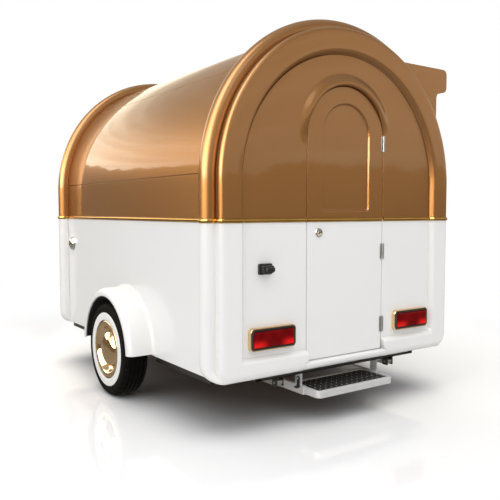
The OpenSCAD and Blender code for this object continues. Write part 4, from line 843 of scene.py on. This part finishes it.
def doorRows():
    rows = []
    for px, pz, nx, nz, ex, ez in doorStations():
        row = []
        for off, deep in doorLeaf["step"]:
            row.append((px + nx * off, rearFace + doorLeaf["paneDeep"] * deep, pz + nz * off))
        sx, _, sz = row[-1]
        for t, sink in doorLeaf["face"]:
            row.append((sx + (ex - sx) * t, rearFace + sink, sz + (ez - sz) * t))
        row.append((ex, rearBack, ez))
        rows.append(row)
    return rows


rows = doorRows()
verts = [p for row in rows for p in row]
faces = loftFaces(rows, False, True)
wide = len(rows[0])
faces.append(tuple(i * wide for i in range(len(rows))))
faces.append(tuple(i * wide + wide - 1 for i in reversed(range(len(rows)))))
doorUpper = addPiece("doorUpperPanel", verts, faces, "rear_door", "bronze_paint", 50)
evenShade(doorUpper)
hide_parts("door_upper_panel")
print("door and rear panel made")


# fenders: rolled over the wheel, with a soft fillet into the side wall
fender = {
    "centreY": 1.240, "centreZ": 0.325, "outerR": 0.417, "roundR": 0.045, "reachX": 1.110, "skin": 0.010,
    "lipR": 0.362, "lipEdge": 0.003, "fillet": 0.025, "footZ": 0.342, "steps": 72, "edge": 0.004,
}


def aroundWheel(side, r, x, a):
    return side * x, atRear(fender["centreY"] + r * cos(a)), fender["centreZ"] + r * sin(a)


def fenderSection():
    f = fender
    wall, roundX, roundC = body["sideX"], f["reachX"] - f["roundR"], f["outerR"] - f["roundR"]
    section = arcPoints(f["outerR"] + f["fillet"], wall + f["fillet"], f["fillet"], 270, 180, 8)
    section += arcPoints(roundC, roundX, f["roundR"], 0, 90, 14)
    section += [(f["lipR"] + f["lipEdge"], f["reachX"]), (f["lipR"], f["reachX"] - f["lipEdge"]),
                (f["lipR"], f["reachX"] - f["skin"])]
    section += arcPoints(roundC, roundX, f["roundR"] - f["skin"], 90, 0, 8)
    return section + [(f["outerR"] - f["skin"], wall)]


def fenderRows(side):
    rows = []
    for k in range(fender["steps"] + 1):
        row = []
        for r, x in fenderSection():
            low = asin((fender["footZ"] - fender["centreZ"]) / r)
            row.append(aroundWheel(side, r, x, low + (pi - 2 * low) * k / fender["steps"]))
        rows.append(row)
    return rows


fenders = loftPiece("fenderShells", [fenderRows(-1), fenderRows(1)], "trailer", "white_gelcoat")
soften(fenders, fender["edge"], 3, 60)
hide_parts("fenders")

# wheel boxes: dark liners from the cabin side out to the fender's lip
liner = {
    "insideX": 0.854, "plate": 0.006, "lipX": 1.0985, "lipEdge": 0.002, "outerR": 0.361, "skin": 0.005,
    "footZ": 0.356, "footTurn": 0.002, "footGap": 0.001, "steps": 60,
}


def linerRows(side):
    b = liner
    rise = b["footZ"] - fender["centreZ"]
    low = asin(rise / b["outerR"]) + b["footTurn"]
    outer, inner = b["outerR"], b["outerR"] - b["skin"]
    inX, plateX, lipX = b["insideX"], b["insideX"] + b["plate"], b["lipX"] - b["lipEdge"]
    rows = []
    for k in range(b["steps"] + 1):
        a = low + (pi - 2 * low) * k / b["steps"]
        foot = min(rise / sin(a), inner - b["footGap"])
        section = [(foot, inX), (outer, inX), (outer, lipX), ((outer + inner) / 2, b["lipX"]), (inner, lipX),
                   (inner, plateX), (foot, plateX)]
        rows.append([aroundWheel(side, r, x, a) for r, x in section])
    return rows


liners = loftPiece("wheelBoxes", [linerRows(-1), linerRows(1)], "trailer", "black_plastic")
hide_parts("wheel_boxes")

# half-round belt trim that follows the rings, grooves and walls
belt = {"height": 0.026, "proud": 0.009, "points": 9, "doorGap": 0.004, "flatEnd": 0.02, "curveShift": 0.4}


def beltOutline(grow, wallX, startX):
    inner, deep = body["recessR"], body["recessD"]
    line = [(startX, deep - grow), (inner - belt["flatEnd"], deep - grow)]
    line += [(x - belt["curveShift"] * grow, y - grow) for x, y in recessPoints(inner, 1)]
    line += arcPoints(body["edgeC"], body["edgeR"], body["edgeR"] + grow, -90, ring["edgeEnd"], 10)
    reach = min(1.0, (wallX + grow - body["beadC"]) / (body["beadR"] + grow))
    line += arcPoints(body["beadC"], body["beadY"], body["beadR"] + grow, ring["beadStart"],
                      degrees(acos(reach)), 32)
    return line + [(wallX + grow, body["length"] / 2)]


def beltLoop(grow):
    length, jamb = body["length"], body["frameHalf"]
    line = beltOutline(grow, body["ringR"], jamb + belt["doorGap"])
    line += [(x, length - y) for x, y in reversed(beltOutline(grow, body["ringR"], 0.0)[:-1])]
    line += [(-x, length - y) for x, y in beltOutline(grow, body["sideX"], 0.0)[1:]]
    return line + [(-x, y) for x, y in reversed(beltOutline(grow, body["sideX"], jamb)[:-1])]


def doorLoop(grow):
    return [(x, body["recessD"] - grow) for x in (-body["doorHalf"], body["doorHalf"] - belt["doorGap"])]


def trimRows(loopAt):
    turns = [radians(-90 + 180 * k / (belt["points"] - 1)) for k in range(belt["points"])]
    lines = [loopAt(belt["proud"] * cos(t)) for t in turns]
    heights = [body["beltZ"] + belt["height"] / 2 * sin(t) for t in turns]
    rows = []
    for i in range(len(lines[0])):
        rows.append([(line[i][0], atRear(line[i][1]), z) for line, z in zip(lines, heights)])
    return rows


beltTrim = loftPiece("beltTrim", [trimRows(beltLoop)], "trailer", "gold_trim", sharpDeg=50)
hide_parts("belt_trim")
doorTrim = loftPiece("doorBeltTrim", [trimRows(doorLoop)], "rear_door", "gold_trim", sharpDeg=50)
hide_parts("door_belt_trim")
print("fenders and belt trim made")


# rounded rectangle in x and z round a centre, at one depth
def roundRectRow(cx, cz, width, height, corner, depth, count=8):
    dx, dz = width / 2 - corner, height / 2 - corner
    row = []
    for sx, sz, start in ((1, 1, 0), (-1, 1, 90), (-1, -1, 180), (1, -1, 270)):
        row += arcPoints(cx + sx * dx, cz + sz * dz, corner, start, start + 90, count)
    return [(x, atRear(depth), z) for x, z in row]


leastCorner = 0.003


# rings of a rounded rectangle; the profile is pairs of (inset, depth)
def rectRows(spec, cx, cz, profile):
    rows = []
    for inset, depth in profile:
        width, height = spec["width"] - 2 * inset, spec["height"] - 2 * inset
        rows.append(roundRectRow(cx, cz, width, height, max(spec["corner"] - inset, leastCorner), depth))
    return rows


# tail lamps: deep bezel, rubber gasket and crowned lens
tailLamp = {
    "x": 0.580, "z": 0.544, "width": 0.323, "height": 0.131, "corner": 0.024,
    "bezel": [
        (0, 0.030), (0, 0.0065), (0.0007, 0.0035), (0.0024, 0.0012), (0.0046, 0.0005), (0.0068, 0.0012),
        (0.0082, 0.003), (0.0086, 0.006), (0.0086, 0.030)],
    "gasket": [
        (0.0088, 0.030), (0.0088, 0.0012), (0.0104, -0.0022), (0.0136, -0.0038), (0.0168, -0.0028),
        (0.0190, 0.0), (0.0196, 0.030)],
    "lens": [
        (0.0199, 0.030), (0.0199, -0.0015), (0.0212, -0.0050), (0.0240, -0.0076), (0.0290, -0.0091),
        (0.036, -0.0098), (0.046, -0.010), (0.058, -0.010)],
}
for name, node, part, slot, finish, hollow in (
        ("lampBezels", "lamp_bezels", "bezel", "gold_trim", paleGold, True),
        ("lampGaskets", "lamp_gaskets", "gasket", "grip_rubber", None, True),
        ("lampLenses", "lamp_lenses", "lens", "red_lens", None, False)):
    lofts = [rectRows(tailLamp, side * tailLamp["x"], tailLamp["z"], tailLamp[part]) for side in (-1, 1)]
    piece = loftPiece(name, lofts, "trailer", slot, closedPath=hollow, sharpDeg=50, finish=finish)
    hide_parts(node)

# plate lamp: base plate, body and a nose
plateLamp = {
    "x": -0.627, "z": 0.940, "width": 0.093, "height": 0.062, "corner": 0.008,
    "base": [(0, 0.030), (0, 0.0185), (0.0015, 0.0165), (0.004, 0.016), (0.0105, 0.016)],
    "body": [(0.0105, 0.017), (0.0105, -0.010), (0.012, -0.0135), (0.0165, -0.0145)],
    "nose": [(0.0185, -0.013), (0.0187, -0.031), (0.020, -0.0345), (0.024, -0.036)],
}
lofts = [rectRows(plateLamp, plateLamp["x"], plateLamp["z"], plateLamp[part])
         for part in ("base", "body", "nose")]
plate = loftPiece("plateLamp", lofts, "trailer", "black_plastic", sharpDeg=50)
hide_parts("plate_lamp")
print("lamps made")


# wheels: tyre with grooves and shoulder notches, white sidewall ring and polished cap
wheel = {
    "x": 1.0075, "y": 1.240, "z": 0.320, "segments": 192, "turned": 128, "notch": 0.005, "notchEvery": 6,
    "notchWide": 2, "notchFromR": 0.302, "notchFromX": 0.045,
    "tyre": [
        (0.184, 0.062), (0.200, 0.066), (0.203, 0.0865), (0.2525, 0.0868), (0.256, 0.0855), (0.262, 0.0855),
        (0.266, 0.0868), (0.284, 0.0872), (0.294, 0.0858), (0.302, 0.082), (0.309, 0.0755), (0.3145, 0.067),
        (0.318, 0.056), (0.319, 0.049), (0.313, 0.048), (0.313, 0.042), (0.3195, 0.041), (0.320, 0.018),
        (0.314, 0.017), (0.314, 0.011), (0.320, 0.010)],
    "whitewall": [
        (0.2005, 0.0860), (0.2005, 0.0885), (0.203, 0.0900), (0.226, 0.0905), (0.247, 0.0898),
        (0.2505, 0.0888), (0.252, 0.0868), (0.240, 0.0862)],
    "cap": [
        (0.0, 0.102), (0.022, 0.1014), (0.045, 0.0994), (0.066, 0.0958), (0.085, 0.0902), (0.101, 0.0828),
        (0.114, 0.0735), (0.1225, 0.0640), (0.1275, 0.0550), (0.1300, 0.0480), (0.1312, 0.0462),
        (0.1325, 0.0456), (0.1345, 0.0462), (0.141, 0.0510), (0.149, 0.0620), (0.157, 0.0770),
        (0.164, 0.0858), (0.169, 0.0878), (0.186, 0.0878), (0.1925, 0.0874), (0.194, 0.086), (0.194, 0.0738),
        (0.191, 0.0738), (0.191, 0.0846), (0.17, 0.0846), (0.134, 0.0415), (0.0, 0.0415)],
}


def wheelPlace(side):
    return lambda u, v, h: (side * (wheel["x"] + h), atRear(wheel["y"] + u), wheel["z"] + v)


def tyreRows(side):
    profile = wheel["tyre"] + [(r, -h) for r, h in reversed(wheel["tyre"])]
    place = wheelPlace(side)
    rows = []
    for i in range(wheel["segments"]):
        a = 2 * pi * i / wheel["segments"]
        cut = wheel["notch"] if i % wheel["notchEvery"] < wheel["notchWide"] else 0.0
        row = []
        for r, h in profile:
            deep = cut if r > wheel["notchFromR"] and abs(h) > wheel["notchFromX"] else 0.0
            row.append(place((r - deep) * cos(a), (r - deep) * sin(a), h))
        rows.append(row)
    return rows


hubCaps = []
for side, name in ((-1, "left"), (1, "right")):
    place = wheelPlace(side)
    rides = name + "_wheel"
    tyre = loftPiece(name + "Tyre", [tyreRows(side)], rides, "tyre_rubber", closedPath=True, sharpDeg=30)
    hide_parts(name + "_tyre")
    wall = loftPiece(name + "Whitewall", [latheRows(wheel["whitewall"], wheel["turned"], place)], rides,
                     "white_rubber", closedPath=True, sharpDeg=60)
    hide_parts(name + "_whitewall")
    cap = loftPiece(name + "HubCap", [], rides, "gold_trim", sharpDeg=45, finish=paleGold,
                    turned=[latheRows(wheel["cap"], wheel["turned"], place)])
    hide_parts(name + "_hub_cap")
    hubCaps.append(cap)
print("wheels made")


# filler on the left wall, in heights out from the wall, and the door lock, in depths from the rear plane
filler = {
    "y": 2.330, "z": 1.000, "x": -0.935, "segments": 96,
    "flange": [
        (0.042, -0.029), (0.042, 0.008), (0.054, 0.008), (0.0575, 0.0072), (0.0595, 0.0050), (0.060, 0.0022),
        (0.060, 0.0), (0.0457, 0.0), (0.0457, -0.029)],
    "cap": [
        (0.0, 0.0343), (0.012, 0.0338), (0.024, 0.0318), (0.034, 0.0283), (0.043, 0.0235), (0.049, 0.0190),
        (0.053, 0.0145), (0.0548, 0.0115), (0.055, 0.0090), (0.0540, 0.0083), (0.0415, 0.0083),
        (0.0415, -0.010), (0.0, -0.010)],
}


def fillerRows(profile):
    def onWall(u, v, h):
        return filler["x"] - h, atRear(filler["y"] + u), filler["z"] + v

    return latheRows(profile, filler["segments"], onWall)


flange = loftPiece("fillerFlange", [fillerRows(filler["flange"])], "trailer", "chrome", closedPath=True)
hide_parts("filler_flange")
fillerCap = loftPiece("fillerCap", [], "filler_cap", "chrome", turned=[fillerRows(filler["cap"])])
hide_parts("filler_cap")

lock = {
    "x": -0.225, "z": 1.139, "segments": 72,
    "ring": [
        (0.0084, 0.066), (0.0084, 0.0240), (0.0098, 0.0232), (0.0165, 0.0232), (0.0185, 0.0222),
        (0.0220, 0.0220), (0.0255, 0.0231), (0.0275, 0.0258), (0.028, 0.0282), (0.028, 0.030),
        (0.014, 0.030), (0.014, 0.066)],
}
lockRows = latheRows(lock["ring"], lock["segments"],
                     lambda u, v, y: (lock["x"] + u, atRear(y), lock["z"] + v))
lockRing = loftPiece("lockBody", [lockRows], "rear_door", "chrome", closedPath=True)
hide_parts("lock_body")
print("filler and lock made")


# butt hinges: rounded leaves with screws, and three knuckles on one pin
hinge = {
    "x": 0.317, "y": 0.0235, "heights": (0.532, 1.008, 1.698), "width": 0.0120, "height": 0.100,
    "corner": 0.002, "offset": 0.0124, "knuckleGap": 0.0003, "screwShift": 0.001, "screwRise": 0.034,
    "faceD": 0.0270, "knuckleSides": 24, "screwSides": 16,
    "leaf": [(0, 0.030), (0, 0.0280), (0.0006, 0.0273), (0.0016, 0.0270), (0.004, 0.0270)],
    "knuckle": [
        (0.0, 0.0), (0.0050, 0.0), (0.0060, 0.0008), (0.0060, 0.0320), (0.0050, 0.0328), (0.0, 0.0328)],
    "screw": [(0.0, 0.0013), (0.0020, 0.0011), (0.0031, 0.0006), (0.0034, 0.0), (0.0, 0.0)],
}


def leafRows(side, z):
    return rectRows(hinge, hinge["x"] + side * hinge["offset"], z, hinge["leaf"])


def knuckleRows(z, part):
    foot = z - hinge["height"] / 2 + part * hinge["height"] / 3 + hinge["knuckleGap"]
    return latheRows(hinge["knuckle"], hinge["knuckleSides"],
                     lambda u, v, h: (hinge["x"] + u, atRear(hinge["y"] + v), foot + h))


def screwRows(side, z):
    x = hinge["x"] + side * (hinge["offset"] + hinge["screwShift"])
    return latheRows(hinge["screw"], hinge["screwSides"],
                     lambda u, v, h: (x + u, atRear(hinge["faceD"] - h), z + v))


for name, node, side, parts, rides in (("frameLeaves", "hinge_frame_leaves", 1, (0, 2), "trailer"),
                                       ("doorLeaves", "hinge_door_leaves", -1, (1,), "rear_door")):
    flat = [leafRows(side, z) for z in hinge["heights"]]
    turned = [knuckleRows(z, part) for z in hinge["heights"] for part in parts]
    turned += [screwRows(side, z + k * hinge["screwRise"]) for z in hinge["heights"] for k in (-1, 0, 1)]
    leaves = loftPiece(name, flat, rides, "satin_steel", sharpDeg=40, turned=turned)
    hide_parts(node)
print("hinges made")

# bright grip buttons on the step's tread
studs = {
    "columns": 13, "rows": 5, "width": 0.526, "firstY": -0.035, "lastY": 0.150, "top": 0.2002, "sides": 20,
    "button": [
        (0.0, 0.0046), (0.0026, 0.0044), (0.0046, 0.0036), (0.0058, 0.0020), (0.0062, 0.0), (0.0, 0.0)],
}


def buttonRows(x, y):
    return latheRows(studs["button"], studs["sides"],
                     lambda u, v, h: (x + u, atRear(y + v), studs["top"] + h))


acrossX = [studs["width"] * (k / (studs["columns"] - 1) - 0.5) for k in range(studs["columns"])]
lofts = []
for row in range(studs["rows"]):
    y = studs["firstY"] + (studs["lastY"] - studs["firstY"]) * row / (studs["rows"] - 1)
    lofts += [buttonRows(x, y) for x in acrossX]
loftPiece("treadButtons", [], "step", "satin_alloy", turned=lofts)
print("tread buttons made")


# the wheel's own box lights the caps alone
capPieces = bpy.data.collections.new("wheelBoxPieces")
for cap in hubCaps:
    capPieces.objects.link(cap)
softBoxes["wheelBox"]["lamp"].light_linking.receiver_collection = capPieces
